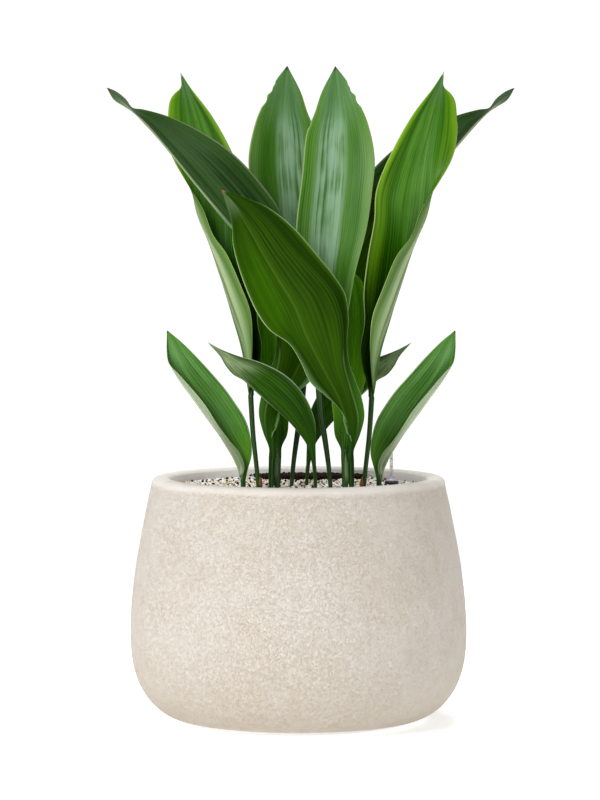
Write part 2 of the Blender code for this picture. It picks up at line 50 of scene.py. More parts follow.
GRANULES_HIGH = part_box("mineral_granules")[1]
SOIL_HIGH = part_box("potting_soil")[1]
COLLAR_LOW, COLLAR_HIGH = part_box("gauge_collar")
TUBE_LOW, TUBE_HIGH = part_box("gauge_tube")

PLANT_AT = (0.016, -0.03)  # the clump's axis
SOIL_TOP = 0.29
GAP = 0.0003  # clearance between pieces that touch

# ---- the pot, as in part.py ----
BELLY_RADIUS, BELLY_HEIGHT = 0.215, 0.115
BASE_RADIUS = 0.12
BELLY_ROUNDNESS = 2.5
TAPER, TAPER_BEND = 0.415, 1.6
WALL, FLOOR = 0.016, 0.018
FLOOR_ROUND, INNER_FLOOR_RADIUS = 0.01, 0.102
MOUTH_RADIUS = 0.164
NECK_START, NECK_END = 0.2, 0.269  # the hollow draws in to the mouth between these heights
LIP_FALL, INNER_ROUND = 0.008, 0.004
POT_STEPS = 720

# ---- the bed ----
MOUND_CENTRE, MOUND_RADII = (0.0145, 0.127), (0.072, 0.026)  # the bare soil
FOOT_CLEARANCE = 0.0018  # how far the grains keep from a stalk
GAUGE_CLEARANCE = 0.01
GRAIN_SPACING, GRAIN_SIZES = 0.0039, (0.0017, 0.0026)
CRUMB_SPACING, LOOSE_SPACING, CRUMB_SIZES = 0.0022, 0.015, (0.0008, 0.0024)

# ---- the water gauge ----
TUBE_RADIUS, TUBE_BORE = 0.0024, 0.0017
GAUGE_STEPS = 64
MARK_HEIGHTS = (("gauge_mark_full", 0.021), ("gauge_mark_half", 0.011))  # above the tube's foot
MARK_TALL, MARK_ROUND, MARK_STEPS = 0.0012, 0.0002, 16

# ---- the studio ----
LIGHTS = (  # name, place, aim, width, watts
    ("key", (-2.0, -2.6, 2.3), (0, 0, 0.35), 1.8, 84),
    ("fill", (2.4, -2.4, 1.2), (0, 0, 0.35), 1.6, 7),
    ("top", (0.2, 0.8, 2.6), (0, 0, 0.4), 1.6, 35),
)
CAMERA_AT, CAMERA_AIM = (0.002, -4.0, 0.635), (0.002, 0.0, 0.4068)
LENS_MM, SENSOR_MM = 141.96, 36.0
FLOOR_RADIUS, FLOOR_SIDES = 1.7, 96
ROOM_LIGHT = 0.15  # what gloss mirrors: a dim room beyond the lamps
MORE_LIGHT = (("Is Diffuse Ray", 0.34), ("Is Camera Ray", 0.9), ("Is Transmission Ray", 0.8))

# ---- how finely a leaf is drawn ----
ACROSS = 41  # points across its upper face
STALK_RINGS = 26
BLADE_RINGS = 170
RING_CROWDING = 0.96  # under 1, the rings crowd slightly towards the tip
CURVE_SAMPLES = 900
RAIL_PLACES = {3: (0.0, 0.5, 1.0), 4: (0.0, 0.5, 0.75, 1.0)}  # where the rails lie across the blade

# ---- how a leaf is made: shares are of the blade's length ----
STALK_SINK = 0.012  # how far the stalk goes on below the soil's surface
GROOVE_DEPTH, GROOVE_WIDTH = 0.22, 0.35  # of the stalk's groove, as a share of its radius and in radians
BLADE_THICK = 0.0006
BLADE_START = 0.03  # the share over which the blade gains its thickness
TIP_THINNING = 0.4
EDGE_ROUND = 0.0015  # the width over which the blade thins to its edge
RIB_FADE = 0.3  # the share over which the stalk flattens out
RIB_START = 0.12
RIB_TAPER = 2.4
RIB_SINK = 0.3  # how much of the rib's bulge is taken off the upper face
RIB_GROOVE_DEPTH, RIB_GROOVE_WIDTH = 0.0007, 0.0016
PLEATS = (5, 9, 14, 21)  # folds across the blade
PLEAT_RISE = 0.0011
FULL_WIDTH = 0.05  # a narrower blade has shallower pleats
WAVES = (2.3, 4.1)  # waves along its edges
WAVE_RISE = 0.018  # as a share of its width
FLAT_FOOT, FLAT_TIP = 0.25, 0.15
NICK_REACH = 0.12  # how far across the blade a nick draws it in

# ---- the leaves ----
# Each leaf is drawn as on the right-hand side of the clump: x outward from the clump's axis, z up.
# A rail point is (x, z, back), where back is how far it lies behind the leaf's own depth, or (x, z).
# The tip and the points of the stalk are given in the same way.
# depth gives (z, y) pairs, first for the right-hand leaf and then for its left-hand twin.
# size and rise, also as (right, left), grow a leaf about its foot and lift it.
LEAVES = {}
LEAVES["leaf_tall"] = dict(
    size=(1.0, 1.009),
    nicks=[(1, 0.928, 0.0016, 0.01), (1, 0.909, 0.0026, 0.012), (1, 0.872, 0.002, 0.016),
           (0, 0.8, 0.001, 0.012)],
    stalk=[(0.026, 0.297), (0.0222, 0.324), (0.0175, 0.359), (0.013, 0.387), (0.0105, 0.417)],
    radii=(0.0022, 0.0045),
    tip=(0.03, 0.827),
    rails=[
        [(0.004, 0.442), (-0.011, 0.505, -0.004), (-0.018, 0.568, -0.008), (-0.019, 0.625, -0.008),
         (-0.012, 0.688, -0.007), (-0.006, 0.742, -0.005), (0.005, 0.77, -0.003),
         (0.013, 0.794, -0.002)],
        [(0.013, 0.457, 0.003), (0.019, 0.517, 0.006), (0.025, 0.586, 0.006), (0.031, 0.656, 0.005),
         (0.035, 0.719, 0.004), (0.035, 0.775, 0.002)],
        [(0.022, 0.435), (0.033, 0.467, -0.003), (0.044, 0.512, -0.006), (0.054, 0.566, -0.008),
         (0.069, 0.624, -0.008), (0.076, 0.671, -0.007), (0.079, 0.711, -0.006), (0.07, 0.757, -0.003),
         (0.058, 0.784, -0.002), (0.044, 0.809)],
    ],
    depth=([(0.297, -0.01), (0.42, -0.02), (0.56, -0.03), (0.7, -0.028), (0.83, -0.015)],
           [(0.297, 0.03), (0.42, 0.072), (0.56, 0.092), (0.7, 0.09), (0.83, 0.075)]),
)
LEAVES["leaf_rolled"] = dict(
    size=(1.0, 1.006),
    stalk=[(0.064, 0.297), (0.0683, 0.324), (0.0728, 0.366), (0.0757, 0.412)],
    radii=(0.0026, 0.0034),
    tip=(0.166, 0.821),
    rails=[
        [(0.07, 0.432, -0.002), (0.065, 0.448, -0.005), (0.0615, 0.474, -0.008), (0.067, 0.508, -0.01),
         (0.065, 0.545, -0.01), (0.07, 0.59, -0.01), (0.078, 0.634, -0.008), (0.081, 0.672, -0.006),
         (0.104, 0.727, -0.003), (0.127, 0.767, -0.002), (0.153, 0.801, -0.001)],
        [(0.078, 0.434, 0.006), (0.08, 0.452, 0.01), (0.086, 0.478, 0.012), (0.097, 0.512, 0.014),
         (0.107, 0.545, 0.014), (0.114, 0.58, 0.012), (0.119, 0.62, 0.009), (0.127, 0.681, 0.005),
         (0.142, 0.742, 0.002), (0.155, 0.787)],
        [(0.078, 0.434, -0.004), (0.08, 0.452, -0.006), (0.0855, 0.478, -0.01), (0.096, 0.512, -0.01),
         (0.107, 0.545, -0.008), (0.119, 0.577, -0.006), (0.132, 0.611, -0.005), (0.144, 0.641, -0.005),
         (0.149, 0.676, -0.003), (0.153, 0.715, -0.001), (0.16, 0.76), (0.163, 0.793)],
        [(0.076, 0.434, -0.01), (0.074, 0.456, -0.018), (0.0735, 0.486, -0.024), (0.076, 0.517, -0.028),
         (0.086, 0.547, -0.03), (0.105, 0.59, -0.028), (0.123, 0.614, -0.024), (0.137, 0.648, -0.018),
         (0.158, 0.68, -0.01), (0.176, 0.713, -0.004), (0.182, 0.74, -0.002), (0.1815, 0.765, -0.001),
         (0.179, 0.784, -0.001), (0.1735, 0.793, -0.001), (0.1665, 0.7995), (0.164, 0.806)],
    ],
    depth=([(0.297, -0.02), (0.45, -0.028), (0.6, -0.032), (0.83, -0.02)],
           [(0.297, -0.01), (0.45, 0.01), (0.56, 0.037), (0.62, 0.055), (0.7, 0.064), (0.83, 0.08)]),
)
LEAVES["leaf_outer"] = dict(
    size=(1.004, 0.988),
    rise=(0.0, 0.005),
    stalk=[(0.046, 0.297), (0.048, 0.348), (0.051, 0.397), (0.053, 0.437)],
    radii=(0.0026, 0.0036),
    tip=(0.257, 0.8, -0.004),
    rails=[
        [(0.042, 0.477), (0.031, 0.527), (0.029, 0.586), (0.037, 0.64), (0.06, 0.676), (0.1, 0.719),
         (0.14, 0.746), (0.179, 0.764, -0.002), (0.212, 0.773, -0.006), (0.2245, 0.775, -0.007),
         (0.233, 0.786, -0.008), (0.246, 0.796, -0.006)],
        [(0.05, 0.477), (0.049, 0.532), (0.064, 0.586), (0.104, 0.636), (0.139, 0.678), (0.177, 0.724),
         (0.205, 0.755, -0.001), (0.225, 0.772, -0.002), (0.24, 0.787, -0.003)],
        [(0.055, 0.477, 0.003), (0.056, 0.532, 0.002), (0.064, 0.57, 0.002), (0.08, 0.598, 0.003),
         (0.11, 0.634, 0.007), (0.145, 0.678, 0.012), (0.181, 0.721, 0.012), (0.207, 0.751, 0.009),
         (0.2255, 0.77, 0.005), (0.236, 0.777, 0.003), (0.248, 0.785)],
    ],
    depth=([(0.297, 0.07), (0.45, 0.078), (0.6, 0.072), (0.7, 0.062), (0.8, 0.045)],
           [(0.297, 0.04), (0.4, 0.058), (0.48, 0.066), (0.54, 0.054), (0.577, 0.029), (0.6, 0.015),
            (0.65, -0.006), (0.72, -0.024), (0.8, -0.04)]),
)
LEAVES["leaf_broad"] = dict(
    stalk=[(0.05, 0.297), (0.0502, 0.316), (0.0495, 0.338)],
    radii=(0.0028, 0.0038),
    tip=(-0.11, 0.672),
    rails=[
        [(0.0465, 0.37), (0.039, 0.396, 0.001), (0.017, 0.418, 0.002), (-0.001, 0.434, 0.002),
         (-0.014, 0.461, 0.002), (-0.027, 0.482, 0.002), (-0.051, 0.499, 0.002), (-0.066, 0.519, 0.003),
         (-0.084, 0.56, 0.004), (-0.096, 0.603, 0.004), (-0.098, 0.632, 0.003), (-0.106, 0.66, 0.001)],
        [(0.0475, 0.37), (0.036, 0.41, 0.004), (0.017, 0.447, 0.007), (-0.006, 0.493, 0.008),
         (-0.021, 0.53, 0.008), (-0.04, 0.561, 0.008), (-0.061, 0.596, 0.006), (-0.078, 0.626, 0.004),
         (-0.098, 0.657, 0.001)],
        [(0.053, 0.364), (0.053, 0.391), (0.046, 0.425), (0.038, 0.459), (0.036, 0.489), (0.031, 0.519),
         (0.02, 0.545), (0.0, 0.57), (-0.028, 0.603), (-0.055, 0.636), (-0.084, 0.659)],
        [(0.053, 0.348), (0.0605, 0.368, 0.001), (0.066, 0.392, 0.002), (0.062, 0.417, 0.006),
         (0.054, 0.439, 0.012), (0.047, 0.461, 0.016), (0.0445, 0.487, 0.018), (0.046, 0.513, 0.018),
         (0.042, 0.543, 0.014), (0.031, 0.562, 0.008), (0.006, 0.594, 0.002), (-0.021, 0.625),
         (-0.054, 0.651), (-0.085, 0.664)],
    ],
    depth=([(0.297, -0.045), (0.36, -0.055), (0.45, -0.078), (0.55, -0.094), (0.68, -0.11)],
           [(0.297, -0.012), (0.36, -0.006), (0.45, 0.008), (0.55, 0.016), (0.68, 0.036)]),
)
LEAVES["leaf_inner"] = dict(
    stalk=[(0.042, 0.297), (0.0415, 0.316), (0.041, 0.336)],
    radii=(0.0024, 0.0034),
    tip=(0.05, 0.573),
    rails=[
        [(0.037, 0.348, -0.001), (0.03, 0.364, -0.003), (0.028, 0.387, -0.005), (0.024, 0.427, -0.006),
         (0.024, 0.477, -0.006), (0.033, 0.537, -0.004)],
        [(0.0415, 0.36), (0.044, 0.387, 0.002), (0.048, 0.431, 0.003), (0.05, 0.48, 0.003),
         (0.052, 0.531, 0.002)],
        [(0.045, 0.348, -0.001), (0.051, 0.373, -0.003), (0.059, 0.399, -0.005), (0.067, 0.429, -0.006),
         (0.074, 0.465, -0.006), (0.077, 0.502, -0.005), (0.073, 0.534, -0.003), (0.064, 0.558, -0.001)],
    ],
    depth=([(0.297, -0.015), (0.4, -0.004), (0.5, 0.0), (0.58, 0.0)],
           [(0.297, 0.006), (0.4, 0.03), (0.5, 0.046), (0.54, 0.04), (0.58, 0.014)]),
)
LEAVES["leaf_low"] = dict(
    stalk=[(0.0855, 0.297), (0.0857, 0.302), (0.086, 0.307)],
    radii=(0.0026, 0.0034),
    tip=(0.18, 0.497),
    rails=[
        [(0.08, 0.32, -0.001), (0.075, 0.34, -0.002), (0.076, 0.36, -0.003), (0.083, 0.385, -0.004),
         (0.099, 0.411, -0.004), (0.119, 0.436, -0.004), (0.14, 0.46, -0.003), (0.162, 0.482, -0.001)],
        [(0.0885, 0.322, 0.003), (0.095, 0.336, 0.006), (0.106, 0.352, 0.009), (0.12, 0.372, 0.01),
         (0.135, 0.393, 0.01), (0.149, 0.413, 0.008), (0.163, 0.433, 0.006), (0.173, 0.452, 0.004),
         (0.178, 0.474, 0.001)],
        [(0.084, 0.323, -0.006), (0.089, 0.341, -0.012), (0.101, 0.357, -0.017), (0.116, 0.379, -0.02),
         (0.132, 0.402, -0.02), (0.149, 0.424, -0.018), (0.166, 0.443, -0.012), (0.178, 0.456, -0.006),
         (0.181, 0.474, -0.002)],
    ],
    depth=([(0.297, 0.0), (0.36, -0.004), (0.5, -0.022)],
           [(0.297, 0.0), (0.36, -0.004), (0.5, -0.022)]),
)
LEAVES["leaf_arching"] = dict(
    rise=(0.0, 0.0045),
    stalk=[(-0.0055, 0.297), (-0.005, 0.31), (-0.0035, 0.325)],
    radii=(0.0019, 0.0026),
    tip=(0.129, 0.48),
    rails=[
        [(-0.0055, 0.347), (-0.005, 0.377), (0.002, 0.4), (0.013, 0.419), (0.028, 0.435),
         (0.047, 0.447), (0.068, 0.456), (0.089, 0.462), (0.11, 0.47)],
        [(0.0005, 0.345), (0.006, 0.357), (0.015, 0.37), (0.029, 0.387), (0.047, 0.405), (0.067, 0.424),
         (0.082, 0.438), (0.096, 0.451), (0.11, 0.465)],
        [(0.003, 0.343, 0.002), (0.008, 0.354, 0.004), (0.018, 0.367, 0.006), (0.032, 0.382, 0.008),
         (0.05, 0.399, 0.009), (0.069, 0.416, 0.01), (0.085, 0.431, 0.01), (0.097, 0.438, 0.007),
         (0.106, 0.449, 0.004), (0.113, 0.462, 0.002)],
    ],
    depth=([(0.297, 0.04), (0.4, 0.034), (0.49, 0.046)],
           [(0.297, -0.034), (0.4, -0.044), (0.49, -0.078)]),
)
LEAVES["sheath_brown"] = dict(
    stalk=[(0.0632, 0.2975), (0.0632, 0.3)],
    radii=(0.0016, 0.0018),
    tip=(0.0644, 0.3145),
    rails=[
        [(0.061, 0.3035, 0.001), (0.0616, 0.309, 0.0005)],
        [(0.0632, 0.3035), (0.0635, 0.309)],
        [(0.0656, 0.3035, 0.001), (0.0653, 0.309, 0.0005)],
    ],
    depth=([(0.297, -0.0258), (0.315, -0.0256)],
           [(0.297, -0.0158), (0.315, -0.0152)]),
)
LEAVES["sheath_green"] = dict(
    stalk=[(0.0446, 0.2975), (0.0446, 0.306)],
    radii=(0.0016, 0.0018),
    tip=(0.0425, 0.3475),
    rails=[
        [(0.0425, 0.314, 0.001), (0.042, 0.33, 0.001)],
        [(0.0446, 0.314), (0.0438, 0.33)],
        [(0.0466, 0.314, 0.001), (0.0455, 0.33, 0.001)],
    ],
    depth=([(0.297, -0.026), (0.35, -0.024)],
           [(0.297, -0.006), (0.35, 0.0)]),
)


def srgb(red, green, blue):
    """A colour given as it looks on a screen, from 0 to 255, as linear light."""
    shares = (red / 255, green / 255, blue / 255)
    return tuple(((c + 0.055) / 1.055) ** 2.4 if c > 0.04 else c / 12.92 for c in shares)


# ---- how each kind of leaf looks ----
# Colours are screen values. u runs across the blade from its inner to its outer edge, v from base to tip.
# Streaks run from dark to light. foot reaches up to v foot_to, and glow lies near both edges.
# On leaf_rolled and leaf_inner the near-black foot is painted shade.
# A patch is (colour, share, u from, u to, v from, v to, softness, how streaky): a tint of the leaf's colour or
# a painted sheen.
# under gives the dark and the light of the under side, fold the u of a pale band on it, and under_lines
# how many streaks cross it. gloss is a roughness.
LOOKS = {}
LOOKS["leaf_tall"] = dict(
    seed=1.7, dark=(40, 94, 2), light=(84, 134, 34), tip=(52, 70, 30),
    foot=(26, 78, 0), foot_to=0.34,
    glow=(96, 150, 34), glow_from=0.86, rib=(104, 148, 90), rib_share=0.15,
    margin=(172, 190, 132), veins=30, gloss=0.36, specular=0.3,
    # the first patch is a painted sheen: pale gloss streaks down the middle of the blade
    tints_and_sheens=[((152, 186, 156), 0.75, 0.2, 0.6, 0.36, 0.86, 0.07, 0.9),
             ((100, 142, 94), 0.6, 0.05, 0.95, 0.84, 1.1, 0.08, 0.4),
             ((40, 96, 6), 0.7, 0.62, 0.82, 0.1, 0.8, 0.05, 0.6),
             ((104, 142, 78), 0.45, 0.86, 1.1, 0.3, 0.8, 0.05, 0.3)],
    under=((74, 112, 60), (120, 150, 98)),
)
LOOKS["leaf_rolled"] = dict(
    seed=5.2, dark=(18, 62, 0), light=(56, 116, 2), tip=(196, 200, 170),
    # the near-black foot is painted shade in the rolled blade's channel, low in the clump
    foot=(4, 28, 2), foot_to=0.64,
    glow=(118, 168, 18), glow_from=0.5, rib=(70, 114, 52), rib_share=0.25,
    margin=(180, 200, 120), veins=28, gloss=0.38, specular=0.14,
    # the first patch is a painted sheen across the middle of the blade
    tints_and_sheens=[((88, 140, 44), 0.75, 0.24, 0.74, 0.52, 0.94, 0.1, 0.55),
             ((84, 122, 72), 0.75, 0.2, 0.8, 0.92, 1.1, 0.05, 0.2)],
    under=((40, 80, 12), (104, 140, 68)), under_lines=30.0, fold=0.78,
)
LOOKS["leaf_outer"] = dict(
    seed=9.1, dark=(18, 44, 4), light=(44, 78, 24), tip=(60, 54, 30),
    foot=(24, 68, 14), foot_to=0.45,
    glow=(50, 90, 30), glow_from=0.8, rib=(96, 124, 80), rib_share=0.1,
    margin=(158, 166, 132), veins=25, gloss=0.42, specular=0.11,
    tints_and_sheens=[((72, 98, 62), 0.35, 0.05, 0.45, 0.3, 0.84, 0.1, 0.9),
             ((80, 104, 74), 0.6, 0.0, 1.0, 0.9, 1.1, 0.04, 0.2),
             ((150, 166, 130), 0.9, 0.58, 1.1, 0.2, 0.93, 0.05, 0.5)],
    under=((70, 96, 54), (108, 130, 86)),
)
LOOKS["leaf_broad"] = dict(
    seed=3.4, dark=(20, 46, 0), light=(44, 78, 0), tip=(140, 92, 64),
    foot=(30, 70, 10), foot_to=0.16,
    glow=(50, 104, 0), glow_from=0.88, rib=(80, 110, 36), rib_share=0.35,
    margin=(184, 198, 150), veins=29, gloss=0.46, specular=0.04,
    # every patch is painted light: highlights mid-blade and on the crease, sheen by the inner edge, tip and
    # lobe
    tints_and_sheens=[((58, 108, 0), 0.5, 0.0, 0.45, 0.42, 0.8, 0.14, 0.6),
             ((92, 128, 74), 0.8, -0.1, 0.15, 0.08, 0.42, 0.08, 0.6),
             ((98, 120, 84), 0.7, 0.0, 0.55, 0.92, 1.1, 0.04, 0.3),
             ((96, 130, 66), 0.6, 0.775, 0.805, 0.04, 0.34, 0.02, 0.6),
             ((56, 106, 30), 0.7, 0.84, 1.1, 0.02, 0.3, 0.06, 0.2)],
    under=((84, 122, 66), (126, 156, 100)),
)
LOOKS["leaf_inner"] = dict(
    seed=7.7, dark=(64, 132, 0), light=(112, 182, 8), tip=(60, 90, 20),
    # the near-black foot is painted shade where this leaf sits deep in the clump
    foot=(4, 36, 4), foot_to=0.55,
    glow=(120, 190, 16), glow_from=0.6, rib=(90, 134, 44), rib_share=0.25,
    margin=(150, 178, 110), veins=30, gloss=0.42, specular=0.14,
    under=((70, 114, 54), (108, 146, 84)),
)
LOOKS["leaf_low"] = dict(
    seed=2.6, dark=(40, 94, 0), light=(104, 158, 58), tip=(40, 60, 20),
    foot=(34, 84, 2), foot_to=0.14,
    glow=(74, 138, 4), glow_from=0.45, rib=(96, 138, 76), rib_share=0.15,
    margin=(170, 190, 140), veins=22, gloss=0.4, specular=0.22,
    tints_and_sheens=[((100, 148, 86), 0.65, 0.1, 0.55, 0.3, 0.95, 0.1, 0.6)],
    under=((104, 132, 82), (160, 178, 140)), fold=0.66,
)
LOOKS["leaf_arching"] = dict(
    seed=6.3, dark=(22, 56, 0), light=(46, 88, 2), tip=(96, 116, 40),
    foot=(30, 70, 12), foot_to=0.16,
    glow=(52, 100, 12), glow_from=0.75, rib=(112, 140, 88), rib_share=0.2,
    margin=(206, 216, 196), veins=20, gloss=0.42, specular=0.07,
    tints_and_sheens=[((138, 160, 112), 0.65, 0.74, 0.92, 0.12, 0.95, 0.06, 0.7),
             ((168, 186, 142), 0.75, 0.12, 0.75, 0.72, 1.1, 0.12, 0.7)],
    under=((124, 150, 102), (188, 200, 166)),
)
LOOKS["sheath_brown"] = dict(
    seed=4.4, dark=(84, 44, 20), light=(158, 104, 62), tip=(150, 110, 80),
    foot=(60, 36, 18), foot_to=0.2,
    glow=(170, 120, 76), glow_from=0.6, rib=(90, 50, 26), rib_share=0.2,
    margin=(180, 140, 100), veins=12, gloss=0.7, specular=0.2,
    under=((84, 44, 20), (140, 90, 52)),
)
LOOKS["sheath_green"] = dict(
    seed=8.8, dark=(70, 98, 56), light=(118, 142, 96), tip=(140, 150, 110),
    foot=(44, 66, 34), foot_to=0.3,
    glow=(138, 158, 114), glow_from=0.6, rib=(130, 150, 110), rib_share=0.2,
    margin=(168, 180, 146), veins=14, gloss=0.5, specular=0.2,
    under=((70, 98, 56), (110, 134, 88)),
)
STALK_DARK = (18, 46, 12)
STALK_LIGHT = (60, 96, 40)
UNDER_PALE = (184, 198, 158)
UNDER_LINES = 13.0


# ---- curves ----
def hermite(knots, values, at):
    """A smooth curve through values at knots, read at the places in at."""
    slopes = np.gradient(values, knots, axis=0)
    i = np.clip(np.searchsorted(knots, at, side="right") - 1, 0, len(knots) - 2)
    width = (knots[i + 1] - knots[i])[:, None]
    s = (at - knots[i])[:, None] / width
    return (
        (1 + 2 * s) * (1 - s) ** 2 * values[i]
        + s * (1 - s) ** 2 * width * slopes[i]
        + s**2 * (3 - 2 * s) * values[i + 1]
        + s**2 * (s - 1) * width * slopes[i + 1]
    )


def along(points, shares):
    """Points at the given shares of the length of a smooth curve through points."""
    points = np.array(points, float)
    steps = np.sqrt(np.linalg.norm(np.diff(points, axis=0), axis=1))
    knots = np.concatenate([[0.0], np.cumsum(steps)])
    dense = hermite(knots, points, np.linspace(0, knots[-1], CURVE_SAMPLES))
    lengths = np.concatenate([[0.0], np.cumsum(np.linalg.norm(np.diff(dense, axis=0), axis=1))])
    return np.stack([np.interp(np.array(shares) * lengths[-1], lengths, dense[:, k]) for k in range(3)], 1)


def smoothstep(x):
    x = np.clip(x, 0.0, 1.0)
    return x * x * (3 - 2 * x)


# ---- meshes ----
def new_object(name, points, faces, material_indices=None, smooth=True):
    mesh = bpy.data.meshes.new(name)
    mesh.from_pydata([tuple(p) for p in points], [], faces)
    if smooth:
        mesh.shade_smooth()
    if material_indices is not None:
        mesh.polygons.foreach_set("material_index", material_indices)
    obj = bpy.data.objects.new(name, mesh)
    bpy.context.scene.collection.objects.link(obj)
    return obj


def tube_faces(rings, count):
    """Quads from each ring of count points to the next."""
    corners = [(k, (k + 1) % count) for k in range(count)]
    return [(row + k, row + n, row + count + n, row + count + k)
            for row in range(0, (rings - 1) * count, count) for k, n in corners]


def join(obj, finishes, node=None):
    """Gives a piece its materials and its place on the plant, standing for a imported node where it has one."""
    for finish in finishes:
        obj.data.materials.append(finish)
    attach(obj, "root")
    if node is not None:
        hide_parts(node)


def placed(leaf, points, side):
    """(x, z, back) points of a leaf as world points, on the side +1 or -1 of the clump."""
    copy = 0 if side > 0 else 1
    size = leaf.get("size", (1.0, 1.0))[copy]
    rise = leaf.get("rise", (0.0, 0.0))[copy]
    points = np.array([(*point, 0.0)[:3] for point in points], float)
    heights, depths = np.array(leaf["depth"][copy], float).T
    y = PLANT_AT[1] + hermite(heights, depths[:, None], points[:, 1])[:, 0] + points[:, 2]
    x = PLANT_AT[0] + side * points[:, 0] * size
    z = SOIL_TOP + (points[:, 1] - SOIL_TOP) * size + rise
    return np.stack([x, y, z], 1)


def ring(middle, normals, thickness):
    """A closed ring round a leaf's section: over the upper face, then back under it."""
    half = normals * thickness[:, None] / 2
    return np.concatenate([middle + half, (middle - half)[-2:0:-1]])


def stalk_rings(centres, radii, side):
    """Rings round the stalk, with a shallow groove down its front."""
    turn = np.linspace(0, math.pi, ACROSS)
    groove = 1 - GROOVE_DEPTH * np.exp(-(((turn - math.pi / 2) / GROOVE_WIDTH) ** 2))
    rings = []
    for k, centre in enumerate(centres):
        ahead = centres[min(k + 1, len(centres) - 1)] - centres[max(k - 1, 0)]
        ahead = ahead / np.linalg.norm(ahead)
        outward = np.array([side, 0.0, 0.0])
        outward = outward - ahead * outward.dot(ahead)
        outward /= np.linalg.norm(outward)
        front = np.cross(outward, ahead) * side
        middle = centre - outward * np.cos(turn)[:, None] * radii[k]
        half = front * (radii[k] * np.sin(turn))[:, None]
        rings.append(np.concatenate([middle + half * groove[:, None], (middle - half)[-2:0:-1]]))
    return rings


def pleats(u, v, seed, width):
    """How far the blade rises along its fine lengthways folds and its slow waves, in metres."""
    rng = np.random.default_rng(seed)
    rise = np.zeros_like(u)
    pleat_rise = PLEAT_RISE * min(1.0, (width / FULL_WIDTH) ** 1.5)
    for count in PLEATS:
        phase, drift = rng.uniform(0, 2 * math.pi, 2)
        rise += pleat_rise / count * np.sin(2 * math.pi * count * u + phase + 0.8 * np.sin(3 * v + drift))
    out = np.abs(2 * u - 1)
    for count in WAVES:
        phase = rng.uniform(0, 2 * math.pi, 2)
        phase = np.where(u < 0.5, phase[0], phase[1])
        rise += WAVE_RISE * width / count * out**2 * np.sin(2 * math.pi * count * v + phase)
    return rise * smoothstep(v / FLAT_FOOT) * smoothstep((1 - v) / FLAT_TIP)


def nicked(surface, nicks):
    """Draws the blade's edge in where it is torn or nibbled. A nick is (edge, place, depth, half length)."""
    count = surface.shape[0] - 1
    u = np.linspace(0, 1, surface.shape[1])
    for edge, place, depth, half in nicks:
        for step in range(surface.shape[0]):
            share = max(0.0, 1 - abs(step / count - place) / half)
            if share > 0:
                near = np.clip(1 - np.abs(u - edge) / NICK_REACH, 0, 1)[:, None]
                inward = surface[step, -2 if edge else 1] - surface[step, -1 if edge else 0]
                inward = inward / np.linalg.norm(inward)
                surface[step] += inward * near * depth * math.sqrt(share)
    return surface


def blade_rings(leaf, side, stalk_top, seed):
    """Rings from the head of the stalk to just short of the tip, and the tip."""
    turn = np.linspace(0, math.pi, ACROSS)
    flat = np.linspace(0, 1, ACROSS)
    rounded = (1 - np.cos(turn)) / 2
    radius = leaf["radii"][1]
    shares = np.linspace(0, 1, BLADE_RINGS + 1) ** RING_CROWDING
    tip = placed(leaf, [leaf["tip"]], side)
    count = len(leaf["rails"])
    rails = []
    for k, rail in enumerate(leaf["rails"]):
        start = stalk_top + np.array([side * radius * (2 * k / (count - 1) - 1), 0.0, 0.0])
        rails.append(along(np.concatenate([[start], placed(leaf, rail, side), tip]), shares))
    rails = np.array(rails)
    knots = np.array(RAIL_PLACES[count])
    places = np.array([(1 - m) * rounded + m * flat for m in smoothstep(shares / RIB_FADE)])
    surface = np.array([hermite(knots, rails[:, step], places[step]) for step in range(len(shares))])
    surface = nicked(surface, leaf.get("nicks", ()))
    lengthways = np.gradient(surface, axis=0)
    crossways = np.gradient(surface, axis=1)
    crossways[-1] = crossways[-2]
    normals = np.cross(crossways, lengthways) * side
    normals /= np.linalg.norm(normals, axis=2, keepdims=True)
    rings = []
    for step, share in enumerate(shares[:-1]):
        gaps = np.linalg.norm(np.diff(surface[step], axis=0), axis=1)
        reach = np.concatenate([[0.0], np.cumsum(gaps)])
        width = reach[-1]
        off_rib = np.abs(reach - reach[ACROSS // 2])
        rib = radius * (1 - share) ** RIB_TAPER
        bulge = 2 * np.sqrt(np.maximum(rib**2 - off_rib**2, 0.0))
        edge = np.clip(np.minimum(reach, width - reach) / EDGE_ROUND, 0, 1)
        blade = BLADE_THICK * np.sqrt(edge) * smoothstep(share / BLADE_START) * (1 - TIP_THINNING * share)
        thickness = np.maximum(bulge, blade)
        lift = pleats(flat, np.full(ACROSS, share), seed, width)
        groove = RIB_GROOVE_DEPTH * np.exp(-((off_rib / RIB_GROOVE_WIDTH) ** 2))
        lift -= (RIB_SINK * (thickness - blade) + groove) * smoothstep(share / RIB_START)
        rings.append(ring(surface[step] + normals[step] * lift[:, None], normals[step], thickness))
    return rings, tip[0], shares[:-1]


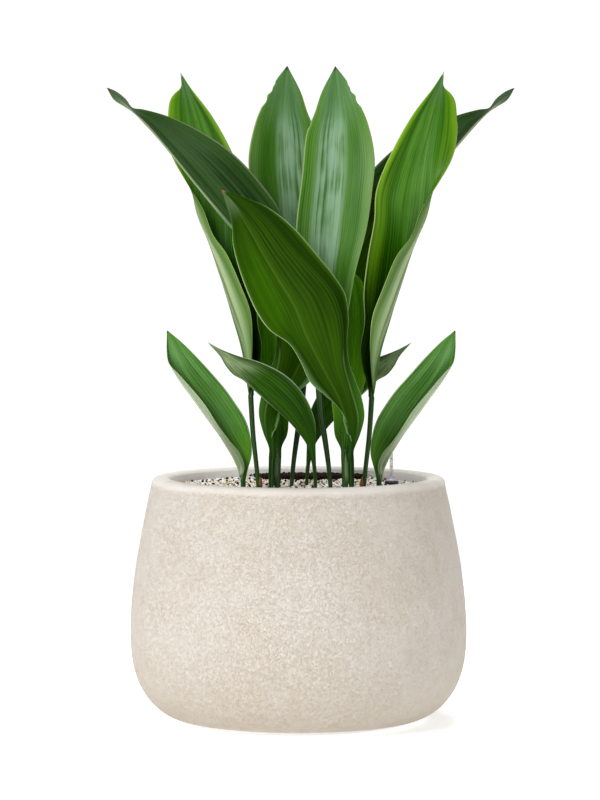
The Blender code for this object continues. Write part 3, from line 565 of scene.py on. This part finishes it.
def make_leaf(kind, side, materials):
    """A whole leaf as one closed mesh: stalk, rib and blade, with its upper and under faces apart."""
    leaf = LEAVES[kind]
    seed = int(LOOKS[kind]["seed"] * 10) + (side < 0)
    stalk = placed(leaf, leaf["stalk"], side)
    stalk[0, 2] = SOIL_TOP - STALK_SINK
    centres = along(stalk, np.linspace(0, 1, STALK_RINGS + 1))[:-1]
    low, high = leaf["radii"]
    lower = np.linspace(low, high, STALK_RINGS + 1)[:-1]
    blade, tip, shares = blade_rings(leaf, side, stalk[-1], seed)
    rings = stalk_rings(centres, lower, side) + blade
    count = len(rings[0])
    points = np.concatenate([*rings, [tip]])
    over = np.concatenate([np.linspace(0, 1, ACROSS), np.linspace(0, 1, ACROSS)[-2:0:-1]])
    u = np.tile(over, len(rings))
    v = np.concatenate([np.linspace(-0.4, 0, STALK_RINGS + 1)[:-1], shares]).repeat(count)
    u, v = np.append(u, 0.5), np.append(v, 1.0)
    last, peak = (len(rings) - 1) * count, len(points) - 1
    faces = [tuple(range(count)), *tube_faces(len(rings), count)]
    faces += [(last + k, last + (k + 1) % count, peak) for k in range(count)]
    if side > 0:
        faces = [face[::-1] for face in faces]
    upper_then_under = [0] * (ACROSS - 1) + [1] * (count - ACROSS + 1)
    node = f"{kind}_{'right' if side > 0 else 'left'}"
    obj = new_object(f"{node}_grown", points, faces, [1] + upper_then_under * len(rings))
    mesh = obj.data
    layer = mesh.uv_layers.new(name="blade")
    loops = np.empty(len(mesh.loops), np.int32)
    mesh.loops.foreach_get("vertex_index", loops)
    layer.data.foreach_set("uv", np.stack([u[loops], v[loops]], 1).ravel())
    join(obj, materials, node)


# ---- materials ----
class Graph:
    """Writes one material's nodes."""

    def __init__(self, name):
        self.material = bpy.data.materials.new(name)
        self.material.use_nodes = True
        self.nodes = self.material.node_tree.nodes
        self.links = self.material.node_tree.links
        self.shader = self.nodes["Principled BSDF"]

    def put(self, socket, value):
        if isinstance(value, bpy.types.NodeSocket):
            self.links.new(value, socket)
        else:
            socket.default_value = value

    def add(self, kind, inputs, **settings):
        """A new node, with its settings made first and then its inputs filled, each by its name or number."""
        node = self.nodes.new(f"ShaderNode{kind}")
        for name, value in settings.items():
            setattr(node, name, value)
        for key, value in inputs.items():
            self.put(node.inputs[key], value)
        return node

    def math(self, operation, *values):
        return self.add("Math", dict(enumerate(values)), operation=operation).outputs[0]

    def times(self, first, second):
        return self.math("MULTIPLY", first, second)

    def scaled(self, value, by, plus):
        return self.math("MULTIPLY_ADD", value, by, plus)

    def off(self, value, middle):
        """How far value is from middle."""
        return self.math("ABSOLUTE", self.math("SUBTRACT", value, middle))

    def towards(self, share, first, second):
        """The number first as share nears 0, and second as it nears 1."""
        return self.scaled(self.math("SUBTRACT", second, first), share, first)

    def step(self, value, low, high, at_low=0.0, at_high=1.0):
        """A smooth step from at_low to at_high, as value goes from low to high."""
        inputs = dict(enumerate((value, low, high, at_low, at_high)))
        return self.add("MapRange", inputs, interpolation_type="SMOOTHSTEP").outputs[0]

    def mix(self, share, first, second):
        first, second = ((*srgb(*c), 1.0) if isinstance(c, tuple) else c for c in (first, second))
        return self.add("Mix", {0: share, 6: first, 7: second}, data_type="RGBA").outputs[2]

    def noise(self, vector, scale, detail=2.0, roughness=0.5, distortion=0.0):
        inputs = {"Vector": vector, "Scale": scale, "Detail": detail, "Roughness": roughness,
                  "Distortion": distortion}
        return self.add("TexNoise", inputs).outputs[0]

    def vector(self, x, y, z):
        return self.add("CombineXYZ", {0: x, 1: y, 2: z}).outputs[0]

    def apart(self, vector):
        return tuple(self.add("SeparateXYZ", {0: vector}).outputs)

    def uv(self, name):
        return self.apart(self.add("UVMap", {}, uv_map=name).outputs[0])[:2]

    def place(self):
        return self.add("TexCoord", {}).outputs["Object"]

    def bump(self, height, distance, strength=1.0, normal=None):
        inputs = {"Height": height, "Distance": distance, "Strength": strength}
        if normal is not None:
            inputs["Normal"] = normal
        return self.add("Bump", inputs).outputs[0]

    def finish(self, colour, roughness, normal=None, specular=0.5):
        self.put(self.shader.inputs["Base Color"], colour)
        self.put(self.shader.inputs["Roughness"], roughness)
        self.put(self.shader.inputs["Specular IOR Level"], specular)
        if normal is not None:
            self.put(self.shader.inputs["Normal"], normal)
        return self.material


def stalk_colour(graph, u, seed):
    """Dark green with lighter ridges down its length."""
    ridges = graph.noise(graph.vector(graph.times(u, 9.0), seed, 0.0), 1.0, 1.0)
    return graph.mix(graph.step(ridges, 0.35, 0.7), STALK_DARK, STALK_LIGHT)


def leaf_material(kind, under):
    look = LOOKS[kind]
    graph = Graph(f"{kind}_{'under' if under else 'upper'}")
    u, v = graph.uv("blade")
    out = graph.math("ABSOLUTE", graph.scaled(u, 2.0, -1.0))
    seed = look["seed"] + (20.0 if under else 0.0)

    def streaks(across, lengthways, offset):
        spot = graph.vector(graph.times(u, across), graph.times(v, lengthways), seed + offset)
        return graph.noise(spot, 1.0, 2.0, 0.55)

    broad = streaks(7.0, 1.6, 0.0)
    ribbons = streaks(11.0, 3.0, 9.0)
    calm = graph.step(v, 0.92, 0.8)  # streaks and relief would crowd together at the tip
    if under:
        fine = streaks(look.get("under_lines", UNDER_LINES), 2.4, 3.0)
        lines = graph.times(fine, 1.2)
    else:
        fine = streaks(42.0, 2.4, 3.0)
        lines = graph.scaled(streaks(110.0, 5.0, 6.0), 0.35, graph.times(fine, 0.85))
        veins = graph.math("SINE", graph.times(u, 2 * math.pi * look["veins"]))
        lines = graph.scaled(veins, 0.14, lines)
    share = graph.scaled(broad, 1.1, -0.55)
    share = graph.step(graph.math("ADD", share, graph.towards(calm, 0.6, lines)), 0.25, 0.95)
    dark, light = look["under"] if under else (look["dark"], look["light"])
    colour = graph.mix(share, dark, light)
    if under and "fold" in look:
        pale = graph.step(graph.off(u, look["fold"]), 0.16, 0.02, 0.0, 0.8)
        pale = graph.times(pale, graph.step(fine, 0.35, 0.6, 0.3, 1.0))
        pale = graph.times(pale, graph.step(v, 0.05, 0.4, 0.35, 1.0))
        colour = graph.mix(pale, colour, UNDER_PALE)
    elif not under:
        glow = graph.times(graph.step(out, look["glow_from"], 1.0), graph.step(broad, 0.3, 0.65))
        colour = graph.mix(glow, colour, look["glow"])
        broken = graph.scaled(ribbons, 0.45, graph.times(fine, 0.25))
        broken = graph.scaled(streaks(4.0, 9.0, 12.0), 0.3, broken)
        # Patches tint the blade; some of them are painted sheens and painted highlights.
        for patch, most, u_from, u_to, v_from, v_to, soft, streaky in look.get("tints_and_sheens", ()):
            inside = graph.step(broken, 0.4, 0.58, most * (1 - streaky), most)
            for along_it, low, high in ((u, u_from, u_to), (v, v_from, v_to)):
                inside = graph.times(inside, graph.step(along_it, low - soft, low + soft))
                inside = graph.times(inside, graph.step(along_it, high + soft, high - soft))
            colour = graph.mix(inside, colour, patch)
        # The darker foot; on leaf_rolled and leaf_inner it is painted shade low in the clump.
        foot = graph.times(graph.step(v, look["foot_to"], 0.0), 0.85)
        colour = graph.mix(foot, colour, look["foot"])
    rib = graph.step(graph.off(u, 0.5), 0.018, 0.004, 0.0, look["rib_share"])
    colour = graph.mix(rib, colour, look["rib"])
    margin = graph.times(graph.step(out, 0.955, 0.992, 0.0, 0.8), calm)
    margin = graph.times(margin, graph.step(v, 0.06, 0.24))
    colour = graph.mix(margin, colour, look["margin"])
    colour = graph.mix(graph.step(v, 0.98, 0.994), colour, look["tip"])
    colour = graph.mix(graph.step(v, 0.06, -0.02), colour, stalk_colour(graph, u, seed))
    relief = graph.times(graph.scaled(fine, 0.3, ribbons), calm)
    roughness = graph.step(ribbons, 0.25, 0.75, look["gloss"] + 0.1, look["gloss"] - 0.04)
    return graph.finish(colour, roughness, graph.bump(relief, 0.0005, 0.35), look["specular"])


def pot_material():
    graph = Graph("stucco_pot")
    place = graph.place()
    x, y, z = graph.apart(place)
    worms = graph.noise(place, 420.0, 2.0, 0.55, 1.2)
    pits = graph.step(graph.off(worms, 0.5), 0.0, 0.05)
    grain = graph.noise(place, 1200.0, 2.0, 0.6)
    clouds = graph.noise(place, 9.0, 3.0, 0.55)
    blotches = graph.noise(place, 42.0, 3.0, 0.6)
    wear = graph.step(graph.scaled(blotches, 0.6, graph.times(clouds, 0.5)), 0.4, 0.7)
    body = graph.mix(wear, (214, 205, 193), (218, 211, 202))
    deep = graph.mix(wear, (194, 178, 157), (205, 194, 178))
    colour = graph.mix(pits, deep, body)
    # Darker towards the bottom: painted shade on the lower pot.
    colour = graph.mix(graph.step(z, 0.15, 0.005, 0.0, 0.4), colour, (176, 164, 146))
    lip = graph.step(z, POT_HIGH.z - 0.012, POT_HIGH.z - 0.004)
    colour = graph.mix(lip, colour, graph.mix(wear, (220, 213, 204), (226, 221, 214)))
    # The hollow's wall is paler: partly its own smooth finish, partly painted light where the lamps reach it
    # poorly.
    reach = graph.math("POWER", graph.scaled(x, x, graph.times(y, y)), 0.5)
    inside = graph.step(reach, MOUTH_RADIUS + 0.0015, MOUTH_RADIUS)
    colour = graph.mix(inside, colour, (246, 243, 241))
    height = graph.math("ADD", pits, graph.times(grain, 0.35))
    height = graph.times(height, graph.step(lip, 0.0, 1.0, 1.0, 0.25))
    roughness = graph.step(grain, 0.3, 0.7, 0.78, 0.92)
    return graph.finish(colour, roughness, graph.bump(height, 0.0006, 0.7), 0.2)


def grain_material():
    graph = Graph("mineral_grains")
    tone = graph.add("Attribute", {}, attribute_name="tone").outputs["Fac"]
    ramp = graph.add("ValToRGB", {0: tone})
    ramp.color_ramp.interpolation = "CONSTANT"
    tones = [(0.0, (236, 230, 220)), (0.26, (214, 200, 182)), (0.44, (196, 170, 140)),
             (0.54, (202, 216, 222)), (0.68, (244, 242, 238)), (0.82, (128, 96, 78)), (0.88, (84, 62, 60)),
             (0.93, (226, 208, 186))]
    for k, (place, colour) in enumerate(tones):
        element = ramp.color_ramp.elements[k] if k < 2 else ramp.color_ramp.elements.new(place)
        element.position = place
        element.color = (*srgb(*colour), 1.0)
    place = graph.place()
    specks = graph.noise(place, 900.0, 3.0, 0.6)
    colour = graph.mix(graph.step(specks, 0.55, 0.72, 0.0, 0.35), ramp.outputs[0], (120, 100, 84))
    return graph.finish(colour, 0.8, graph.bump(specks, 0.0004, 0.7), 0.3)


def soil_material(name):
    graph = Graph(name)
    place = graph.place()
    lumps = graph.noise(place, 260.0, 4.0, 0.65)
    fine = graph.noise(place, 1400.0, 2.0, 0.6)
    colour = graph.mix(graph.step(lumps, 0.35, 0.7), (20, 13, 10), (58, 42, 32))
    colour = graph.mix(graph.step(fine, 0.6, 0.75, 0.0, 0.5), colour, (92, 70, 52))
    return graph.finish(colour, 0.95, graph.bump(lumps, 0.0015, 0.9, graph.bump(fine, 0.0003, 0.5)), 0.15)


def plastic(name, colour, roughness, clear=0.0):
    graph = Graph(name)
    smudge = graph.noise(graph.place(), 500.0, 2.0)
    tint = tuple(max(0, int(c * 0.88)) for c in colour)
    mixed = graph.mix(graph.step(smudge, 0.35, 0.7), tint, colour)
    graph.shader.inputs["Alpha"].default_value = 1.0 - clear
    return graph.finish(mixed, graph.step(smudge, 0.3, 0.7, roughness, roughness + 0.08))


def floor_material():
    graph = Graph("studio_floor")
    clouds = graph.noise(graph.place(), 1.2, 2.0)
    colour = graph.mix(clouds, (250, 250, 250), (253, 253, 253))
    graph.shader.inputs["Emission Color"].default_value = (1.0, 1.0, 1.0, 1.0)
    graph.shader.inputs["Emission Strength"].default_value = 0.42
    return graph.finish(colour, 0.9, specular=0.0)


# ---- pot, soil and top dressing ----
def revolved(name, profile, steps, centre=(0.0, 0.0), wobble=None):
    """A turned mesh from (radius, height) points whose first and last lie on the axis."""
    radii, heights = np.array(profile[1:-1], float).T
    turn = np.linspace(0, 2 * math.pi, steps, endpoint=False)
    x = centre[0] + radii[:, None] * np.cos(turn)
    y = centre[1] + radii[:, None] * np.sin(turn)
    z = np.repeat(heights[:, None], steps, axis=1)
    points = np.stack([x, y, z], 2).reshape(-1, 3)
    if wobble is not None:
        points = wobble(points)
    points = np.concatenate([points, [(*centre, profile[0][1]), (*centre, profile[-1][1])]])
    faces = tube_faces(len(radii), steps)
    end, first = (len(radii) - 1) * steps, len(radii) * steps
    for k in range(steps):
        n = (k + 1) % steps
        faces += [(first, n, k), (first + 1, end + k, end + n)]
    return new_object(name, points, [face[::-1] for face in faces])


def outer_radius(height):
    if height < BELLY_HEIGHT:
        fall = ((BELLY_HEIGHT - height) / BELLY_HEIGHT) ** BELLY_ROUNDNESS
        return BASE_RADIUS + (BELLY_RADIUS - BASE_RADIUS) * (1 - fall) ** (1 / BELLY_ROUNDNESS)
    return BELLY_RADIUS - TAPER * (height - BELLY_HEIGHT) ** TAPER_BEND


def pot_profile():
    """From the centre of the hollow's floor, up the inside, over the lip and down the outside."""
    top, quarter = POT_HIGH.z, math.pi / 2
    profile = [(0.0, FLOOR), (0.04, FLOOR), (INNER_FLOOR_RADIUS, FLOOR)]
    for height in np.linspace(FLOOR + FLOOR_ROUND, NECK_END, 30):
        taper = smoothstep((height - NECK_START) / (NECK_END - NECK_START))
        profile.append(((1 - taper) * (outer_radius(height) - WALL) + taper * MOUTH_RADIUS, height))
    for height in np.linspace(NECK_END + 0.003, top - INNER_ROUND, 12)[:-1]:
        profile.append((MOUTH_RADIUS, height))
    for angle in np.linspace(0, quarter, 9):
        out, down = INNER_ROUND * (1 - math.cos(angle)), INNER_ROUND * (1 - math.sin(angle))
        profile.append((MOUTH_RADIUS + out, top - down))
    shoulder = outer_radius(top - LIP_FALL)
    for angle in np.linspace(0, quarter, 14):
        profile.append((shoulder - LIP_FALL * (1 - math.sin(angle)), top - LIP_FALL * (1 - math.cos(angle))))
    for height in np.linspace(top - LIP_FALL, BELLY_HEIGHT, 80)[1:]:
        profile.append((outer_radius(height), height))
    for angle in np.linspace(0, quarter, 70)[1:-1]:
        height = BELLY_HEIGHT * (1 - math.sin(angle) ** 0.8)
        profile.append((outer_radius(height), height))
    return profile + [(BASE_RADIUS, 0.0), (BASE_RADIUS / 2, 0.0), (0.0, 0.0)]


def hand_finish(points):
    """Slight unevenness of a cast pot: it only draws the surface inwards."""
    moved = points.copy()
    for k, (x, y, z) in enumerate(points):
        spot = Vector((x, y, z))
        slow = noise.noise(spot * 14.0)
        quick = noise.noise(spot * 120.0)
        inset = 0.0006 * (slow - 1.0) + 0.00022 * (quick - 1.0)
        fade = min(1.0, z / 0.02) * (0.35 if z > POT_HIGH.z - 0.01 else 1.0)
        radius = math.hypot(x, y)
        if radius > 0.15 or z > 0.05:
            moved[k, 0] += x / radius * inset * fade
            moved[k, 1] += y / radius * inset * fade
    return moved


def lump_shapes(count, seed, detail):
    """Irregular unit stones, as (points, faces), all with the same faces."""
    bpy.ops.mesh.primitive_ico_sphere_add(subdivisions=detail, radius=1.0)
    ball = bpy.context.object
    base = np.array([v.co for v in ball.data.vertices])
    faces = [tuple(p.vertices) for p in ball.data.polygons]
    bpy.data.objects.remove(ball)
    rng = np.random.default_rng(seed)
    shapes = []
    for k in range(count):
        bumps = np.array([noise.noise(Vector(p) * 1.3 + Vector((7.1 * k, 0, 0))) for p in base])
        shape = base * (1 + 0.38 * bumps[:, None]) * rng.uniform(0.75, 1.15, 3)
        for _ in range(4):
            facet = rng.normal(size=3)
            facet /= np.linalg.norm(facet)
            over = np.maximum(shape @ facet - rng.uniform(0.55, 0.8), 0)
            shape = shape - over[:, None] * facet
        shapes.append(shape)
    return shapes, faces


def scattered(name, spots, sizes, seed, detail=2):
    """One mesh of many small stones, each turned at random, with a random tone."""
    rng = np.random.default_rng(seed)
    shapes, faces = lump_shapes(14, seed, detail)
    per = len(shapes[0])
    points = np.empty((len(spots) * per, 3))
    for k, (spot, size) in enumerate(zip(spots, sizes)):
        turn = np.array(Quaternion(rng.normal(size=4)).normalized().to_matrix())
        points[k * per:(k + 1) * per] = shapes[rng.integers(len(shapes))] @ turn.T * size + spot
    faces = np.array(faces)
    every = (faces[None] + (np.arange(len(spots)) * per)[:, None, None]).reshape(-1, 3)
    obj = new_object(name, points, every.tolist())
    tone = obj.data.attributes.new("tone", "FLOAT", "POINT")
    tone.data.foreach_set("value", np.repeat(rng.uniform(0, 1, len(spots)), per).astype(np.float32))
    return obj


def in_mound(x, y, grow):
    """Whether a place is on the bare soil, with its edge moved outwards by grow."""
    across = (x - MOUND_CENTRE[0]) / (MOUND_RADII[0] + grow)
    back = (y - MOUND_CENTRE[1]) / (MOUND_RADII[1] + grow)
    return across**2 + back**2 < 1


def grain_spots(seed, spacing, height, keep_off, mound):
    """Jittered places over the round bed, clear of the stalks, inside or outside the bare soil."""
    rng = np.random.default_rng(seed)
    radius = GRANULES_HIGH.x
    spots = []
    for row, y in enumerate(np.arange(-radius, radius, spacing * 0.87)):
        for x in np.arange(-radius + (row % 2) * spacing / 2, radius, spacing):
            px, py = x + rng.uniform(-0.3, 0.3) * spacing, y + rng.uniform(-0.3, 0.3) * spacing
            if math.hypot(px, py) > radius - 0.002 or in_mound(px, py, rng.normal(0, 0.004)) != mound:
                continue
            if any(math.hypot(px - fx, py - fy) < fr for fx, fy, fr in keep_off):
                continue
            spots.append((px, py, height + rng.uniform(-0.0009, 0.0009)))
    return np.array(spots)


def make_pot():
    pot = revolved("pot_cast", pot_profile(), POT_STEPS, wobble=hand_finish)
    join(pot, [pot_material()], "pot")


def make_leaves():
    """Makes every leaf, and returns each stalk's foot as (x, y, radius to keep off)."""
    feet = []
    for kind, leaf in LEAVES.items():
        finishes = [leaf_material(kind, under=False), leaf_material(kind, under=True)]
        for side in (1, -1):
            make_leaf(kind, side, finishes)
            foot = placed(leaf, leaf["stalk"][:1], side)[0]
            feet.append((foot[0], foot[1], leaf["radii"][0] + FOOT_CLEARANCE))
    return feet


def make_bed(feet, gauge):
    """The top dressing, in two layers of grains, and the soil with crumbs heaped and strewn on it."""
    keep_off = feet + [(*gauge, GAUGE_CLEARANCE)]
    bed = GRANULES_HIGH.z
    upper = grain_spots(11, GRAIN_SPACING, bed - 0.0012, keep_off, mound=False)
    lower = grain_spots(12, GRAIN_SPACING, bed - 0.0034, feet, mound=False)
    spots = np.concatenate([upper, lower])
    rng = np.random.default_rng(13)
    grains = scattered("mineral_grains", spots, rng.uniform(*GRAIN_SIZES, len(spots)), 14)
    join(grains, [grain_material()], "mineral_granules")

    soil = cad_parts["potting_soil"]
    soil.data.materials.clear()
    soil.data.materials.append(soil_material("dark_soil"))
    heaped = grain_spots(21, CRUMB_SPACING, SOIL_HIGH.z + 0.0002, feet, mound=True)
    loose = grain_spots(22, LOOSE_SPACING, bed + 0.0006, keep_off, mound=False)
    spots = np.concatenate([heaped, loose])
    crumbs = scattered("soil_crumbs", spots, rng.uniform(*CRUMB_SIZES, len(spots)), 23, 1)
    join(crumbs, [soil_material("soil_crumbs")])


# ---- water gauge ----
def make_gauge(centre):
    dark = plastic("gauge_dark", (44, 42, 54), 0.3)
    clear = plastic("gauge_clear", (254, 253, 255), 0.15, 0.64)
    hood = plastic("gauge_hood", (206, 200, 216), 0.15, 0.12)
    red = plastic("gauge_red", (196, 40, 24), 0.35)
    seat, rim = GRANULES_HIGH.z + GAP, COLLAR_HIGH.z
    collar = [(0.0, rim), (0.006, rim), (0.0068, rim - 0.0001), (0.0083, rim - 0.0002),
              (0.0087, rim - 0.0006), (0.0088, rim - 0.0012), (0.0088, seat + 0.0014),
              (0.0086, seat + 0.001), (0.0088, seat + 0.0006), (0.0087, seat), (0.006, seat),
              (0.006, COLLAR_LOW.z), (0.0, COLLAR_LOW.z)]
    foot, head = rim + GAP, TUBE_LOW.z - GAP
    cone = [(0.0, head), (0.0024, head), (0.0029, head - 0.0004), (0.0034, head - 0.0014),
            (0.0044, head - 0.003), (0.006, head - 0.0044), (0.0074, foot + 0.0012),
            (0.0078, foot + 0.0006), (0.0077, foot), (0.0, foot)]
    crown, base = TUBE_HIGH.z, TUBE_LOW.z
    tube = [(0.0, crown), (0.0018, crown), (0.0022, crown - 0.0003), (TUBE_RADIUS, crown - 0.0008),
            (TUBE_RADIUS, base), (TUBE_BORE, base), (TUBE_BORE, crown - 0.0013), (0.0014, crown - 0.001),
            (0.0, crown - 0.001)]
    low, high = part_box("gauge_float")
    bob = [(0.0, high.z), (0.0008, high.z), (0.0012, high.z - 0.0004), (0.0012, low.z + 0.0003),
           (0.0009, low.z), (0.0, low.z)]
    pieces = (("gauge_collar", collar, dark, "gauge_dark"), ("gauge_cone", cone, hood, "gauge_clear"),
              ("gauge_tube", tube, clear, "gauge_clear"), ("gauge_float", bob, red, "gauge_red"))
    for node, profile, finish, slot in pieces:
        join(revolved(f"{node}_turned", profile, GAUGE_STEPS, centre), [finish], node)
    make_marks(centre, base)


def make_marks(centre, base):
    """Two yellow lines printed across the front of the tube."""
    yellow = plastic("gauge_marks", (232, 196, 60), 0.45)
    inner, outer = TUBE_RADIUS + 0.00002, TUBE_RADIUS + 0.00015
    turn = np.linspace(-0.75 * math.pi, -0.25 * math.pi, MARK_STEPS + 1)
    for name, height in MARK_HEIGHTS:
        low, high = base + height, base + height + MARK_TALL
        band = [(inner, low), (outer, low + MARK_ROUND), (outer, high - MARK_ROUND), (inner, high)]
        points = [(centre[0] + r * math.cos(angle), centre[1] + r * math.sin(angle), z)
                  for angle in turn for r, z in band]
        last = MARK_STEPS * 4
        faces = tube_faces(MARK_STEPS + 1, 4) + [(3, 2, 1, 0), (last, last + 1, last + 2, last + 3)]
        mark = new_object(name, points, [face[::-1] for face in faces], smooth=False)
        join(mark, [yellow])


# ---- studio ----
def aimed(data, place, aim):
    """Puts a lamp or the camera at place, looking at aim."""
    obj = bpy.data.objects.new(data.name, data)
    obj.location = place
    obj.rotation_euler = (Vector(aim) - Vector(place)).to_track_quat("-Z", "Y").to_euler()
    bpy.context.scene.collection.objects.link(obj)
    return obj


def stage():
    turn = np.linspace(0, 2 * math.pi, FLOOR_SIDES, endpoint=False)
    rim = [(FLOOR_RADIUS * math.cos(angle), FLOOR_RADIUS * math.sin(angle), 0.0) for angle in turn]
    floor = new_object("studio_floor", rim, [tuple(range(FLOOR_SIDES))], smooth=False)
    floor.data.materials.append(floor_material())

    world = bpy.data.worlds.new("studio")
    bpy.context.scene.world = world
    world.use_nodes = True
    nodes, links = world.node_tree.nodes, world.node_tree.links
    ray = nodes.new("ShaderNodeLightPath")
    strength = None
    for kind, more in MORE_LIGHT:
        add = nodes.new("ShaderNodeMath")
        add.operation = "MULTIPLY_ADD"
        links.new(ray.outputs[kind], add.inputs[0])
        add.inputs[1].default_value = more
        add.inputs[2].default_value = ROOM_LIGHT
        if strength is not None:
            links.new(strength, add.inputs[2])
        strength = add.outputs[0]
    links.new(strength, nodes["Background"].inputs["Strength"])
    nodes["Background"].inputs["Color"].default_value = (1.0, 1.0, 1.0, 1.0)

    for name, place, aim, width, watts in LIGHTS:
        lamp = bpy.data.lights.new(name, "AREA")
        lamp.shape = "DISK"
        lamp.size = width
        lamp.energy = watts
        aimed(lamp, place, aim)

    camera = bpy.data.cameras.new("camera")
    camera.lens = LENS_MM
    camera.sensor_width = SENSOR_MM
    bpy.context.scene.camera = aimed(camera, CAMERA_AT, CAMERA_AIM)
    bpy.context.scene.view_settings.view_transform = "Standard"


make_pot()
gauge_at = ((COLLAR_LOW.x + COLLAR_HIGH.x) / 2, (COLLAR_LOW.y + COLLAR_HIGH.y) / 2)
make_bed(make_leaves(), gauge_at)
make_gauge(gauge_at)
stage()
